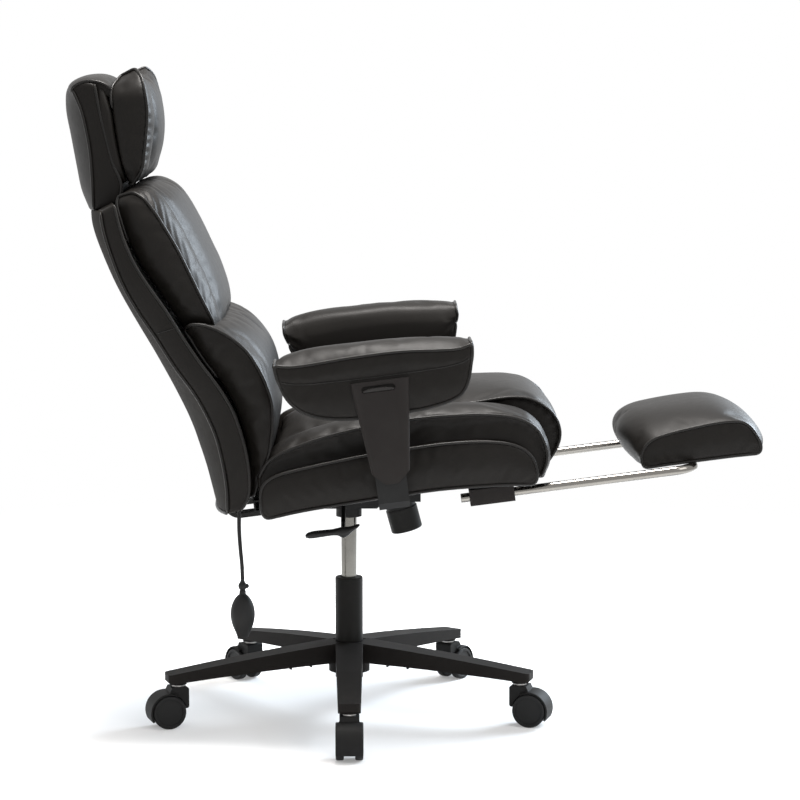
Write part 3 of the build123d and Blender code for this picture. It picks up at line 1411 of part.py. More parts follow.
for side, name in ((-1, "right"), (1, "left")):
    arm_bracket(side, f"arm_bracket_{name}")
    arm_sleeve(side, f"arm_sleeve_{name}")
    arm_pad(side, f"arm_pad_{name}")
    arm_button(side, f"arm_button_{name}")

# Footrest: guides under the board, U-shaped rail, and the pad that turns on its crossbar
guide_half = RAIL_RADIUS + GUIDE_WALL
with BuildPart() as footrest_guides:
    for side in (-1, 1):
        inner = side * RAIL_Y - guide_half
        outer = side * RAIL_Y + guide_half
        seat_block(GUIDE_REAR, GUIDE_FRONT, inner, outer, RAIL_HEIGHT - guide_half, RAIL_HEIGHT + guide_half)
        seat_block(
            GUIDE_REAR + GUIDE_NECK,
            GUIDE_FRONT - GUIDE_NECK,
            side * RAIL_Y - GUIDE_NECK,
            side * RAIL_Y + GUIDE_NECK,
            RAIL_HEIGHT,
            BOARD_UNDERSIDE,
        )
        seat_block(
            GUIDE_REAR - GUIDE_FLANGE_OVERHANG,
            GUIDE_FRONT + GUIDE_FLANGE_OVERHANG,
            inner,
            outer,
            BOARD_UNDERSIDE - GUIDE_FLANGE,
            BOARD_UNDERSIDE,
        )
        with BuildSketch(ACROSS.offset(GUIDE_REAR)):
            with Locations((side * RAIL_Y, RAIL_HEIGHT)):
                Circle(RAIL_RADIUS + RUNNING_FIT)
        extrude(amount=GUIDE_FRONT - GUIDE_REAR, mode=Mode.SUBTRACT)
    bolt_holes(guide_bolts, BOARD_UNDERSIDE - GUIDE_FLANGE, BOARD_UNDERSIDE)
finish_piece(footrest_guides, "footrest_guides")

with BuildPart() as footrest_frame:
    with BuildLine(SEAT.offset(RAIL_HEIGHT)) as rail_path:
        FilletPolyline(
            (RAIL_REAR, -RAIL_Y),
            (CROSSBAR_X, -RAIL_Y),
            (CROSSBAR_X, RAIL_Y),
            (RAIL_REAR, RAIL_Y),
            radius=RAIL_BEND,
        )
    with BuildSketch(Plane(origin=rail_path.line @ 0, z_dir=rail_path.line % 0)):
        Circle(RAIL_RADIUS)
        Circle(RAIL_RADIUS - RAIL_WALL, mode=Mode.SUBTRACT)
    sweep()
finish_piece(footrest_frame, "footrest_frame")

rest_board_top = rest_under + REST_BOARD_THICKNESS
rest_board_half = REST_HALF_WIDTH - REST_BOARD_MARGIN
with BuildPart() as footrest_board:
    seat_block(
        REST_REAR + REST_BOARD_MARGIN,
        REST_FRONT - REST_BOARD_MARGIN,
        -rest_board_half,
        rest_board_half,
        rest_under,
        rest_board_top,
    )
finish_piece(footrest_board, "footrest_board")


def rest_section(y, share):
    """Side outline of the footrest pad: flat underneath, piped side panel or full crown."""
    swell = share * REST_SWELL
    rear = REST_REAR - swell
    front = REST_FRONT + swell
    top = rest_under + REST_SIDE_HEIGHT + share * REST_CROWN
    rear_top = (rear + REST_ROUND, top - REST_FALL)
    rear_round = (rear + REST_ROUND / 4, top - REST_FALL - REST_ROUND / 2)
    front_top = (front - REST_ROUND, top)
    front_round = (front - REST_ROUND / 4, top - REST_ROUND)
    with BuildSketch(SIDE.offset(-y), mode=Mode.PRIVATE) as section:
        with BuildLine():
            Line((rear, rest_under), (front, rest_under))
            ThreePointArc((front, rest_under), front_round, front_top)
            ThreePointArc(front_top, ((front + rear) / 2, top), rear_top)
            ThreePointArc(rear_top, rear_round, (rear, rest_under))
        make_face()
    return section.sketch


with BuildPart() as footrest_pad:
    loft(
        [
            rest_section(-REST_HALF_WIDTH, 0.0),
            rest_section(-REST_HALF_WIDTH * PAD_SHOULDER, PAD_SHOULDER_SHARE),
            rest_section(0.0, 1.0),
            rest_section(REST_HALF_WIDTH * PAD_SHOULDER, PAD_SHOULDER_SHARE),
            rest_section(REST_HALF_WIDTH, 0.0),
        ],
        ruled=True,
    )
    seat_block(
        REST_REAR + REST_BOARD_MARGIN - BODY_GAP,
        REST_FRONT - REST_BOARD_MARGIN + BODY_GAP,
        -rest_board_half - BODY_GAP,
        rest_board_half + BODY_GAP,
        rest_under,
        rest_board_top + BODY_GAP,
        Mode.SUBTRACT,
    )
finish_piece(footrest_pad, "footrest_pad")

clamp_outer = RAIL_RADIUS + CLAMP_WALL
with BuildPart() as footrest_clamps:
    for side in (-1, 1):
        with BuildSketch(SIDE.offset(-side * CLAMP_Y)):
            with Locations((CROSSBAR_X, RAIL_HEIGHT)):
                Circle(clamp_outer)
            with Locations((CROSSBAR_X, rest_under - CLAMP_WALL / 2)):
                Rectangle(CLAMP_FOOT, CLAMP_WALL)
            with Locations((CROSSBAR_X, rest_under + clamp_outer)):
                Rectangle(CLAMP_FOOT, 2 * clamp_outer, mode=Mode.SUBTRACT)
            with Locations((CROSSBAR_X, RAIL_HEIGHT)):
                Circle(RAIL_RADIUS + RUNNING_FIT, mode=Mode.SUBTRACT)
        extrude(amount=CLAMP_WIDTH / 2, both=True)
finish_piece(footrest_clamps, "footrest_clamps")

# Hand pump of the lumbar bladder: hose that hangs from the back, valve and squeeze bulb
hose_ball = SEAT.from_local_coords(Vector(HOSE_X, HOSE_Y, back_bottom - BODY_GAP - HOSE_RADIUS))
hose_points = [
    (hose_ball.X + sideways, hose_ball.Y, hose_ball.Z - drop)
    for drop, sideways in zip(HOSE_DROPS, HOSE_SIDEWAYS)
]
hose_runs = [Vector(*b) - Vector(*a) for a, b in zip(hose_points, hose_points[1:])]
hose_turns = [a.get_angle(b) for a, b in zip(hose_runs, hose_runs[1:])]
hose_radii = [
    HOSE_BEND_SHARE * min(a.length, b.length) / tan(radians(turn / 2))
    for a, b, turn in zip(hose_runs, hose_runs[1:], hose_turns)
]
with BuildPart() as pump_hose:
    with BuildLine() as hose_path:
        FilletPolyline(*hose_points, radius=hose_radii)
    with BuildSketch(Plane(origin=hose_path.line @ 0, z_dir=hose_path.line % 0)):
        Circle(HOSE_RADIUS)
    sweep()
    hose_volume = pump_hose.part.volume
    with Locations(hose_points[0]):
        Sphere(HOSE_RADIUS)
finish_piece(pump_hose, "pump_hose")
hose_length = sum(edge.length for edge in hose_path.edges())
print("hose bend radii", [round(radius) for radius in hose_radii], "length", round(hose_length, 1))
print("hose volume over section times length", hose_volume / (hose_length * pi * HOSE_RADIUS**2))

hose_end = hose_points[-1]
valve_top = hose_end[2]
bulb_top = valve_top - VALVE_LENGTH
drop_plane = Plane(origin=(hose_end[0], hose_end[1], 0), x_dir=(1, 0, 0), z_dir=(0, -1, 0))
drop_axis = Axis(origin=(hose_end[0], hose_end[1], 0), direction=(0, 0, 1))
valve_middle = (valve_top + bulb_top) / 2
ball_top = valve_top - VALVE_NECK_LENGTH
ball_bottom = bulb_top + VALVE_NECK_LENGTH
with BuildPart() as pump_valve:
    with BuildSketch(drop_plane):
        with BuildLine():
            Polyline(
                (VALVE_NECK_RADIUS, ball_bottom),
                (VALVE_NECK_RADIUS, bulb_top),
                (0, bulb_top),
                (0, valve_top),
                (VALVE_NECK_RADIUS, valve_top),
                (VALVE_NECK_RADIUS, ball_top),
            )
            ThreePointArc(
                (VALVE_NECK_RADIUS, ball_top),
                (VALVE_RADIUS, valve_middle),
                (VALVE_NECK_RADIUS, ball_bottom),
            )
        make_face()
    revolve(axis=drop_axis)
    with Locations((hose_end[0] + VALVE_RADIUS, hose_end[1], valve_middle)):
        Sphere(VALVE_KNOB_RADIUS)
finish_piece(pump_valve, "pump_valve")

bulb_bottom = bulb_top - BULB_LENGTH
bulb_line = [(radius * BULB_RADIUS, bulb_top - drop * BULB_LENGTH) for drop, radius in BULB_SHAPE]
with BuildPart() as pump_bulb:
    with BuildSketch(drop_plane):
        with BuildLine():
            Polyline(
                bulb_line[-1],
                (0, bulb_bottom),
                (0, bulb_top),
                (BULB_NECK_RADIUS, bulb_top),
                bulb_line[0],
            )
            Spline(*bulb_line)
        make_face()
    revolve(axis=drop_axis)
finish_piece(pump_bulb, "pump_bulb")
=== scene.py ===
"""Dresses the office chair with a footrest: sewn leather cushions, plastics, metals and a plain studio."""

from __future__ import annotations

import logging
import math
from dataclasses import dataclass, field
from enum import Enum
from functools import cached_property

import bmesh
import bpy
import numpy as np
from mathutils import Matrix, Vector

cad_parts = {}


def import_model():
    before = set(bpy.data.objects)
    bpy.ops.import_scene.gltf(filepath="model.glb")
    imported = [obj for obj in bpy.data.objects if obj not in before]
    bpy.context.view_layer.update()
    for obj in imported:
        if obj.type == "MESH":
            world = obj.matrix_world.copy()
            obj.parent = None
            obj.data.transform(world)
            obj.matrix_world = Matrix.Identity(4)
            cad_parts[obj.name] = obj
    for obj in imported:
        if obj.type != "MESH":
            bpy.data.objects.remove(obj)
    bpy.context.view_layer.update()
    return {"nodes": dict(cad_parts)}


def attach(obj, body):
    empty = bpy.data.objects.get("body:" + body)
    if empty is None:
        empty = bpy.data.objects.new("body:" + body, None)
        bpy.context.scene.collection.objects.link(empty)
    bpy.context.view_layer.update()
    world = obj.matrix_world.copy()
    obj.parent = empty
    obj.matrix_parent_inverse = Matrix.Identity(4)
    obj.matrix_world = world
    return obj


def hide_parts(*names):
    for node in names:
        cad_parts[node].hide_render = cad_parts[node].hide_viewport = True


LOG = logging.getLogger("chair")
MM = 0.001
LATTICE_SHARE = "lattice_share"
ENDS = (0, 1)
RING_TAIL = 0.7
TAPER_RINGS = 3.0
TAPER_START = 0.3
TINY = 1e-9
SAME_PLACE = 1e-7
FEWEST_STEPS = 4
LOOP_SMOOTHINGS = 3
STEEP = 0.9
LINE_PITCH = 2.0
BLOCK = 4000
PHASES = (0.0, 6.28)
PUFF_POWER = 8
ROLL_POWER = 0.8
LOAF_END_POWER = 0.35
BOLSTER_END_POWER = 0.4
WING_POWER = 1.7
CHANNEL_END_POWER = 0.5
DROP_POWER = 3
CHANNEL_WIDTH = 7.0
TOP_SHARE, TOP_NARROWING, FOOT_NARROWING = 0.2, 0.28, 0.22
CREASE_HEIGHT, PEBBLE_HEIGHT = 0.9, 0.55
CLOTH = {
    "quality": 4, "mass": 0.25, "tension_stiffness": 14, "compression_stiffness": 10, "shear_stiffness": 6,
    "bending_stiffness": 0.35, "use_pressure": True, "vertex_group_mass": "sewn",
}
Array = np.ndarray
Points = tuple[tuple[float, float], ...]
Triple = tuple[float, float, float]
Faces = list[tuple[int, ...]]
Material = bpy.types.Material
Piece = bpy.types.Object
Mesh = bpy.types.Mesh
Node = bpy.types.Node
Socket = bpy.types.NodeSocket
Outputs = bpy.types.NodeOutputs
Tree = bpy.types.NodeTree


class Side(Enum):
    """The sitter's two sides, as the sign of Y."""

    RIGHT = -1
    LEFT = 1


class Axis(Enum):
    """The three directions of a cushion's lattice."""

    U = 0
    V = 1
    W = 2


@dataclass(frozen=True)
class SeatFrame:
    """The leaning frame in which the seat, back, arms and footrest are measured, in mm."""

    height: float = 423.0
    lean: float = math.radians(7.2)

    def to_world(self, points: Array) -> Array:
        """Turn points of the seat frame into world points.

        Args:
            points: Rows of forward, sideways and up, in mm.

        Returns:
            Rows of X, Y and Z, in metres.
        """
        cos, sin = math.cos(self.lean), math.sin(self.lean)
        forward = points[:, 0] * cos - points[:, 2] * sin
        up = self.height + points[:, 0] * sin + points[:, 2] * cos
        return np.column_stack([forward, points[:, 1], up]) * MM


SEAT = SeatFrame()


def run_lengths(line: Array) -> Array:
    """The length of a line up to each of its points."""
    return np.concatenate([[0], np.cumsum(np.linalg.norm(np.diff(line, axis=0), axis=1))])


@dataclass(frozen=True)
class Rail:
    """A smooth line through points of the side view, forward and up, in mm."""

    points: Points
    steps: int = 24

    @cached_property
    def dense(self) -> tuple[Array, Array]:
        """The line's share of its length and its place, at many points."""
        given = np.array(self.points, float)
        ends = np.vstack([2 * given[0] - given[1], given, 2 * given[-1] - given[-2]])
        gaps = np.linalg.norm(np.diff(ends, axis=0), axis=1)
        share = np.linspace(0, 1, self.steps, endpoint=False)[:, None]
        rows = []
        for i in range(1, len(ends) - 2):
            start = (ends[i + 1] - ends[i - 1]) / (gaps[i - 1] + gaps[i]) * gaps[i]
            stop = (ends[i + 2] - ends[i]) / (gaps[i] + gaps[i + 1]) * gaps[i]
            square, cube = share**2, share**3
            rows.append(
                (2 * cube - 3 * square + 1) * ends[i]
                + (cube - 2 * square + share) * start
                + (3 * square - 2 * cube) * ends[i + 1]
                + (cube - square) * stop
            )
        line = np.vstack([*rows, given[-1:]])
        along = run_lengths(line)
        return along / along[-1], line

    def at(self, share: Array) -> Array:
        """Read the line at shares of its length.

        Args:
            share: Numbers from 0 to 1.

        Returns:
            Rows of forward and up, in mm.
        """
        along, line = self.dense
        return np.column_stack([np.interp(share, along, line[:, k]) for k in range(2)])

    def moved(self, forward: float) -> Rail:
        """The same line moved forward, in mm."""
        return Rail(tuple((x + forward, h) for x, h in self.points), self.steps)


class BoxLattice:
    """The skin of a box of cells, whose corners are placed by a cushion's own shape."""

    def __init__(self, cells: tuple[int, int, int]) -> None:
        """Number the skin's corners and faces.

        Args:
            cells: How many cells the box has along U, V and W.
        """
        self.cells = np.array(cells)
        grid = np.stack(np.meshgrid(*[np.arange(n + 1) for n in cells], indexing="ij"), -1).reshape(-1, 3)
        self.corner = grid[((grid == 0) | (grid == self.cells)).any(1)]
        self.number = -np.ones(self.cells + 1, int)
        self.number[tuple(self.corner.T)] = np.arange(len(self.corner))
        self.faces = np.vstack([self._sheet(axis, end) for axis in range(3) for end in (0, cells[axis])])
        self.share = self.corner / self.cells

    def _sheet(self, axis: int, end: int) -> Array:
        """The faces of one side of the box, turned outwards."""
        sheet = np.take(self.number, end, axis=axis)
        corners = [sheet[:-1, :-1], sheet[1:, :-1], sheet[1:, 1:], sheet[:-1, 1:]]
        quads = np.stack(corners, -1).reshape(-1, 4)
        outward = (end > 0) == (axis != 1)
        return quads if outward else quads[:, ::-1]

    def row(self, axis: Axis, fixed: tuple[float, float]) -> Array:
        """The corners of one line of the lattice.

        Args:
            axis: The direction in which the line runs.
            fixed: The line's shares along the other two directions, in their order.

        Returns:
            The corners' numbers, from the line's start to its end.
        """
        others = [k for k in range(3) if k != axis.value]
        place = [slice(None)] * 3
        for k, share in zip(others, fixed):
            place[k] = int(round(share * self.cells[k]))
        return self.number[tuple(place)]

    def ring(self, axis: Axis, end: int, gap: bool) -> Array:
        """The corners round the edge of one side of the box.

        Args:
            axis: The direction that the side faces.
            end: 0 or 1, for the side's end of that direction.
            gap: Whether the ring leaves out most of the side's low edge.

        Returns:
            The corners' numbers, once round.
        """
        sheet = np.take(self.number, end * self.cells[axis.value], axis=axis.value)
        if gap:
            start = int(RING_TAIL * (len(sheet) - 1))
            return np.concatenate([sheet[start:-1, 0], sheet[-1, :-1], sheet[:0:-1, -1], sheet[0, ::-1]])
        return np.concatenate([sheet[:-1, 0], sheet[-1, :-1], sheet[:0:-1, -1], sheet[0, :0:-1]])


def put_in_scene(name: str, data: bpy.types.ID) -> Piece:
    """Make an object of the data and link it to the scene."""
    made = bpy.data.objects.new(name, data)
    bpy.context.scene.collection.objects.link(made)
    return made


def make_object(name: str, points: Array, faces: Faces | Array, material: Material) -> Piece:
    """Make a smooth mesh object with faces turned outwards.

    Args:
        name: The piece's name.
        points: World points, in metres.
        faces: The faces, as corner numbers.
        material: The finish.

    Returns:
        The new object, linked to the scene.
    """
    mesh = bpy.data.meshes.new(name)
    mesh.from_pydata([tuple(p) for p in points], [], [tuple(int(i) for i in f) for f in faces])
    edit = bmesh.new()
    edit.from_mesh(mesh)
    bmesh.ops.recalc_face_normals(edit, faces=edit.faces)
    edit.to_mesh(mesh)
    edit.free()
    mesh.polygons.foreach_set("use_smooth", [True] * len(mesh.polygons))
    mesh.materials.append(material)
    return put_in_scene(name, mesh)


def read_rows(mesh: Mesh, what: str = "co") -> Array:
    """A mesh's points, or with "normal" their normals, as rows."""
    flat = np.zeros(len(mesh.vertices) * 3)
    mesh.vertices.foreach_get(what, flat)
    return flat.reshape(-1, 3)


def write_points(mesh: Mesh, points: Array) -> None:
    """Put the mesh's points at new places."""
    mesh.vertices.foreach_set("co", points.astype(np.float32).ravel())
    mesh.update()


def even_line(points: Array, pitch: float, closed: bool) -> Array:
    """Space points evenly along a line and smooth it a little.

    Args:
        points: World points along the line.
        pitch: The wanted spacing, in metres.
        closed: Whether the line is a loop.

    Returns:
        The new points; a loop's first point isn't repeated.
    """
    line = np.vstack([points, points[:1]]) if closed else points
    along = run_lengths(line)
    keep = np.concatenate([[True], np.diff(along) > SAME_PLACE])
    line, along = line[keep], along[keep]
    count = max(FEWEST_STEPS, int(round(along[-1] / pitch)))
    where = np.linspace(0, along[-1], count + 1)
    even = np.column_stack([np.interp(where, along, line[:, k]) for k in range(3)])
    if closed:
        even = even[:-1]
        for _ in range(LOOP_SMOOTHINGS):
            even = (np.roll(even, 1, 0) + 2 * even + np.roll(even, -1, 0)) / 4
        return even
    even[1:-1] = (even[:-2] + 2 * even[1:-1] + even[2:]) / 4
    return even


def loft_faces(rings: int, sides: int, closed: bool = False) -> Faces:
    """The faces of a skin over rings of points, with covered ends unless it is a loop.

    Args:
        rings: How many rings there are.
        sides: How many points each ring has.
        closed: Whether the last ring joins the first.

    Returns:
        The faces, as point numbers.
    """
    faces = []
    for i in range(rings if closed else rings - 1):
        near, far = i * sides, (i + 1) % rings * sides
        faces += [(near + k, near + (k + 1) % sides, far + (k + 1) % sides, far + k) for k in range(sides)]
    if not closed:
        faces += [tuple(range(sides))[::-1], tuple(range((rings - 1) * sides, rings * sides))]
    return faces


def tube(points: Array, radius: float, closed: bool, sides: int = 8) -> tuple[Array, Faces]:
    """Make a round tube along a line, drawn in at its open ends.

    Args:
        points: World points along the middle of the tube.
        radius: The tube's radius, in metres.
        closed: Whether the line is a loop.
        sides: How many sides the tube has.

    Returns:
        The tube's points and faces.
    """
    count = len(points)
    ahead = np.roll(points, -1, 0) - np.roll(points, 1, 0)
    if not closed:
        ahead[0] = points[1] - points[0]
        ahead[-1] = points[-1] - points[-2]
    ahead /= np.linalg.norm(ahead, axis=1)[:, None]
    across = np.zeros_like(points)
    seed = np.array([0.0, 1.0, 0.0]) if abs(ahead[0][1]) < STEEP else np.array([1.0, 0.0, 0.0])
    for i in range(count):
        seed = seed - ahead[i] * seed.dot(ahead[i])
        seed /= np.linalg.norm(seed)
        across[i] = seed
    other = np.cross(ahead, across)
    turn = np.linspace(0, 2 * math.pi, sides, endpoint=False)
    cos, sin = np.cos(turn)[None, :, None], np.sin(turn)[None, :, None]
    ring = across[:, None, :] * cos + other[:, None, :] * sin
    size = np.full(count, radius)
    if not closed:
        from_end = np.minimum(np.arange(count), np.arange(count)[::-1])
        size *= np.sin(np.clip((from_end + TAPER_START) / TAPER_RINGS, 0, 1) * math.pi / 2)
    verts = (points[:, None, :] + ring * size[:, None, None]).reshape(-1, 3)
    return verts, loft_faces(count, sides, closed)


@dataclass(frozen=True)
class Filling:
    """How hard a cover is stuffed, and how far the stuffing may move it."""

    pressure: float
    slack: float
    cap: float
    frames: int = 16


@dataclass(frozen=True)
class Gather:
    """Puckers where a cover is drawn up along a seam, in mm."""

    height: float
    reach: float
    pitch: float
    seed: int
    lean: float = 0.0
    span: tuple[float, float] = (0.0, 1.0)
    fade: float = 0.08
    stretches: tuple[float, ...] = (0.9, 1.7, 2.9)
    wander: tuple[float, float] = (0.5, 1.1)
    swell: float = 0.38
    swell_stretch: float = 2.3
    seam_gap: float = 3.0

    def allowed(
        self, share: Array, along: Axis, sheet: tuple[Axis, int], cells: tuple[int, int, int]
    ) -> Array:
        """How much of the pucker each point takes.

        Args:
            share: The points' shares in the lattice.
            along: The seam's direction.
            sheet: The side of the lattice that is puckered, as its direction and its end.
            cells: The lattice's cells.

        Returns:
            A number from 0 to 1 for each point.
        """
        axis, end = sheet
        away = np.abs(share[:, axis.value] - end) * cells[axis.value]
        place = share[:, along.value]
        rise = np.clip((place - self.span[0]) / self.fade, 0, 1)
        fall = np.clip((self.span[1] - place) / self.fade, 0, 1)
        return np.clip(1 - away, 0, 1) * rise * fall

    def move(self, points: Array, normals: Array, seam: Array, allowed: Array) -> Array:
        """Push points in and out beside the seam.

        Args:
            points: The cover's points, in metres.
            normals: The points' normals.
            seam: The seam's points, in metres.
            allowed: For each point, how much of the pucker it takes.

        Returns:
            The moved points.
        """
        draw = np.random.default_rng(self.seed)
        line = even_line(seam, LINE_PITCH * MM, False)
        along = run_lengths(line) / MM
        wander = sum(
            draw.uniform(*self.wander) * np.sin(along / (self.pitch * stretch) + draw.uniform(*PHASES))
            for stretch in self.stretches
        )
        slow = np.sin(along / (self.pitch * self.swell_stretch) + draw.uniform(*PHASES))
        strength = 1 - self.swell + self.swell * slow
        near = np.zeros(len(points), int)
        far = np.zeros(len(points))
        for start in range(0, len(points), BLOCK):
            block = slice(start, start + BLOCK)
            gap = np.linalg.norm(points[block, None, :] - line[None, :, :], axis=2)
            near[block] = gap.argmin(1)
            far[block] = gap.min(1) / MM
        phase = 2 * math.pi * (along[near] + self.lean * far) / self.pitch + wander[near]
        fade = np.exp(-((far / self.reach) ** 2)) * np.clip(far / self.seam_gap, 0, 1)
        lift = self.height * strength[near] * fade * np.sin(phase) * allowed
        return points + normals * (lift * MM)[:, None]


@dataclass(frozen=True)
class Seam:
    """A sewn line of the lattice, or the sewn edge of one of its sides, with its piping and puckers."""

    axis: Axis
    fixed: tuple[float, ...]
    piped: bool = True
    gather: Gather | None = None
    gather_on: tuple[Axis, int] = (Axis.W, 1)
    gap: bool = False
    radius: float | None = None

    @property
    def closed(self) -> bool:
        """Whether the seam runs round a whole side."""
        return len(self.fixed) == 1 and not self.gap

    def row(self, lattice: BoxLattice) -> Array:
        """The seam's corners in the lattice."""
        if len(self.fixed) == 1:
            return lattice.ring(self.axis, int(self.fixed[0]), self.gap)
        return lattice.row(self.axis, self.fixed)


def both(axis: Axis, *rest: float, **more: object) -> tuple[Seam, ...]:
    """The same seam at both ends of the lattice's first other direction.

    Args:
        axis: The seams' direction, or the direction that their sides face.
        rest: The share along the last direction, unless the seams run round whole sides.
        more: Other values of the seams.

    Returns:
        The two seams.
    """
    return tuple(Seam(axis, (end, *rest), **more) for end in ENDS)


def winged(where: float, ruffle: Gather) -> tuple[Seam, ...]:
    """The seams of a pad with gathered strips beside its middle.

    Args:
        where: The share of the width that the middle takes.
        ruffle: The strips' puckers.

    Returns:
        The six seams.
    """
    inner = tuple(Seam(Axis.V, (place, 1), False) for place in ((1 - where) / 2, (1 + where) / 2))
    return both(Axis.U, gap=True) + both(Axis.V, 1, piped=False, gather=ruffle) + inner


def stuff(piece: Piece, sewn: Array, filling: Filling) -> None:
    """Fill a cover by cloth simulation and keep the result in its mesh.

    Args:
        piece: The cover.
        sewn: For each point, whether it is held.
        filling: The pressure, slack and cap.
    """
    group = piece.vertex_groups.new(name=CLOTH["vertex_group_mass"])
    group.add([int(i) for i in np.nonzero(sewn)[0]], 1.0, "REPLACE")
    before = read_rows(piece.data)
    cloth = piece.modifiers.new("filling", "CLOTH")
    setting = cloth.settings
    for key, value in CLOTH.items():
        setattr(setting, key, value)
    setting.uniform_pressure_force = filling.pressure
    setting.shrink_min = -filling.slack
    setting.effector_weights.gravity = 0
    cloth.collision_settings.use_collision = False
    cloth.point_cache.frame_start = 1
    cloth.point_cache.frame_end = filling.frames
    scene = bpy.context.scene
    for frame_number in range(1, filling.frames + 1):
        scene.frame_set(frame_number)
    graph = bpy.context.evaluated_depsgraph_get()
    after = read_rows(piece.evaluated_get(graph).data)
    move = after - before
    far = np.linalg.norm(move, axis=1)
    limit = filling.cap * MM
    scale = np.where(far > TINY, limit * np.tanh(far / limit) / np.maximum(far, TINY), 0)
    piece.modifiers.remove(cloth)
    piece.vertex_groups.remove(group)
    scene.frame_set(1)
    write_points(piece.data, before + move * scale[:, None])


def subdivide(piece: Piece) -> None:
    """Put one step of subdivision into the piece's own mesh."""
    smooth = piece.modifiers.new("smooth", "SUBSURF")
    smooth.levels = 1
    smooth.subdivision_type = "CATMULL_CLARK"
    graph = bpy.context.evaluated_depsgraph_get()
    finer = bpy.data.meshes.new_from_object(piece.evaluated_get(graph))
    old = piece.data
    piece.modifiers.clear()
    piece.data = finer
    finer.name = old.name
    bpy.data.meshes.remove(old)


@dataclass
class Cushion:
    """What every cushion has: its names, its puff, its cover and its seams."""

    name: str
    node: str
    body: str
    side_puff: float = field(default=0.0, kw_only=True)
    matt: bool = field(default=False, kw_only=True)
    seams: tuple[Seam, ...] = field(default=(), kw_only=True)
    filling: Filling | None = field(default=None, kw_only=True)
    fill: float = field(default=0.7, kw_only=True)

    @staticmethod
    def hidden(share: Array) -> Array:
        """Which corners lie on the unseen side, below or behind."""
        return share[:, 2] == 0


@dataclass
class Loaf(Cushion):
    """A pad that runs fore and aft: a top line, a lower line and two sewn sides, in the seat frame."""

    top_side: Rail
    top_middle: Rail
    bottom: Rail
    half_top: float
    half_bottom: float
    cells: tuple[int, int, int]
    middle_y: float = 0.0
    crown_power: float = 2.6
    bolster: tuple[float, float] = (0.0, 0.0)
    seam_line: Rail | None = None
    half_seam: float = 0.0
    seam_share: float = 0.6
    rear_taper: float = 0.0
    hollow: float | None = None
    rim: float = 0.08
    round_side: Side | None = None
    round_drop: float = 14.0

    def place(self, share: Array) -> Array:
        """Place the lattice's corners.

        Args:
            share: The corners' shares along the length, across and up.

        Returns:
            Points of the seat frame, in mm.
        """
        u, v, w = share.T
        across = 2 * v - 1
        out = np.abs(across)
        crown = 1 - out**self.crown_power
        side = self.top_side.at(u)
        plain = np.zeros(len(u))
        if self.round_side is not None:
            plain = np.clip(across * self.round_side.value, 0, 1)
            crown = np.where(plain > 0, np.sqrt(np.clip(1 - out**2, 0, 1)), crown)
            side[:, 1] -= self.round_drop * plain**DROP_POWER
        top = side + (self.top_middle.at(u) - side) * crown[:, None]
        if self.bolster[0]:
            roll = np.sin(math.pi * np.clip((1 - out) / self.bolster[1], 0, 1)) ** ROLL_POWER
            top = top + self._outward(u) * (self.bolster[0] * roll)[:, None]
        low = self.bottom.at(u)
        if self.hollow is not None:
            inside = (out < 1 - self.rim) & (np.abs(2 * u - 1) < 1 - self.rim)
            low[:, 1] = np.where(inside, np.maximum(low[:, 1], self.hollow), low[:, 1])
        flat = low + (top - low) * w[:, None]
        half = self.half_bottom + (self.half_top - self.half_bottom) * w
        bulge = 4 * w * (1 - w)
        if self.seam_line is not None:
            panel, panel_half, panel_bulge = self._panels(u, w, low, top)
            flat = panel + (flat - panel) * plain[:, None]
            half = panel_half + (half - panel_half) * plain
            bulge = panel_bulge + (bulge - panel_bulge) * plain
        ends = np.sin(math.pi * np.clip(u, 0, 1)) ** LOAF_END_POWER
        half = half - self.rear_taper * (1 - u)
        sideways = across * half + np.sign(across) * self.side_puff * bulge * ends * out**PUFF_POWER
        return np.column_stack([flat[:, 0], self.middle_y + sideways, flat[:, 1]])

    def _panels(self, u: Array, w: Array, low: Array, top: Array) -> tuple[Array, Array, Array]:
        """Place sides that are sewn from two panels.

        Args:
            u: Shares along the length.
            w: Shares up.
            low: Places on the lower line.
            top: Places on the top.

        Returns:
            The places, the half widths and the shares of the puff.
        """
        waist = self.seam_line.at(u)
        under = w <= self.seam_share
        part = np.where(under, w / self.seam_share, (w - self.seam_share) / (1 - self.seam_share))
        start = np.where(under[:, None], low, waist)
        stop = np.where(under[:, None], waist, top)
        half_start = np.where(under, self.half_bottom, self.half_seam)
        half_stop = np.where(under, self.half_seam, self.half_top)
        flat = start + (stop - start) * part[:, None]
        return flat, half_start + (half_stop - half_start) * part, 4 * part * (1 - part)

    def _outward(self, u: Array) -> Array:
        """The top line's outward direction."""
        step = 0.01
        ahead = self.top_side.at(np.clip(u + step, 0, 1)) - self.top_side.at(np.clip(u - step, 0, 1))
        ahead /= np.linalg.norm(ahead, axis=1)[:, None]
        return np.column_stack([-ahead[:, 1], ahead[:, 0]])


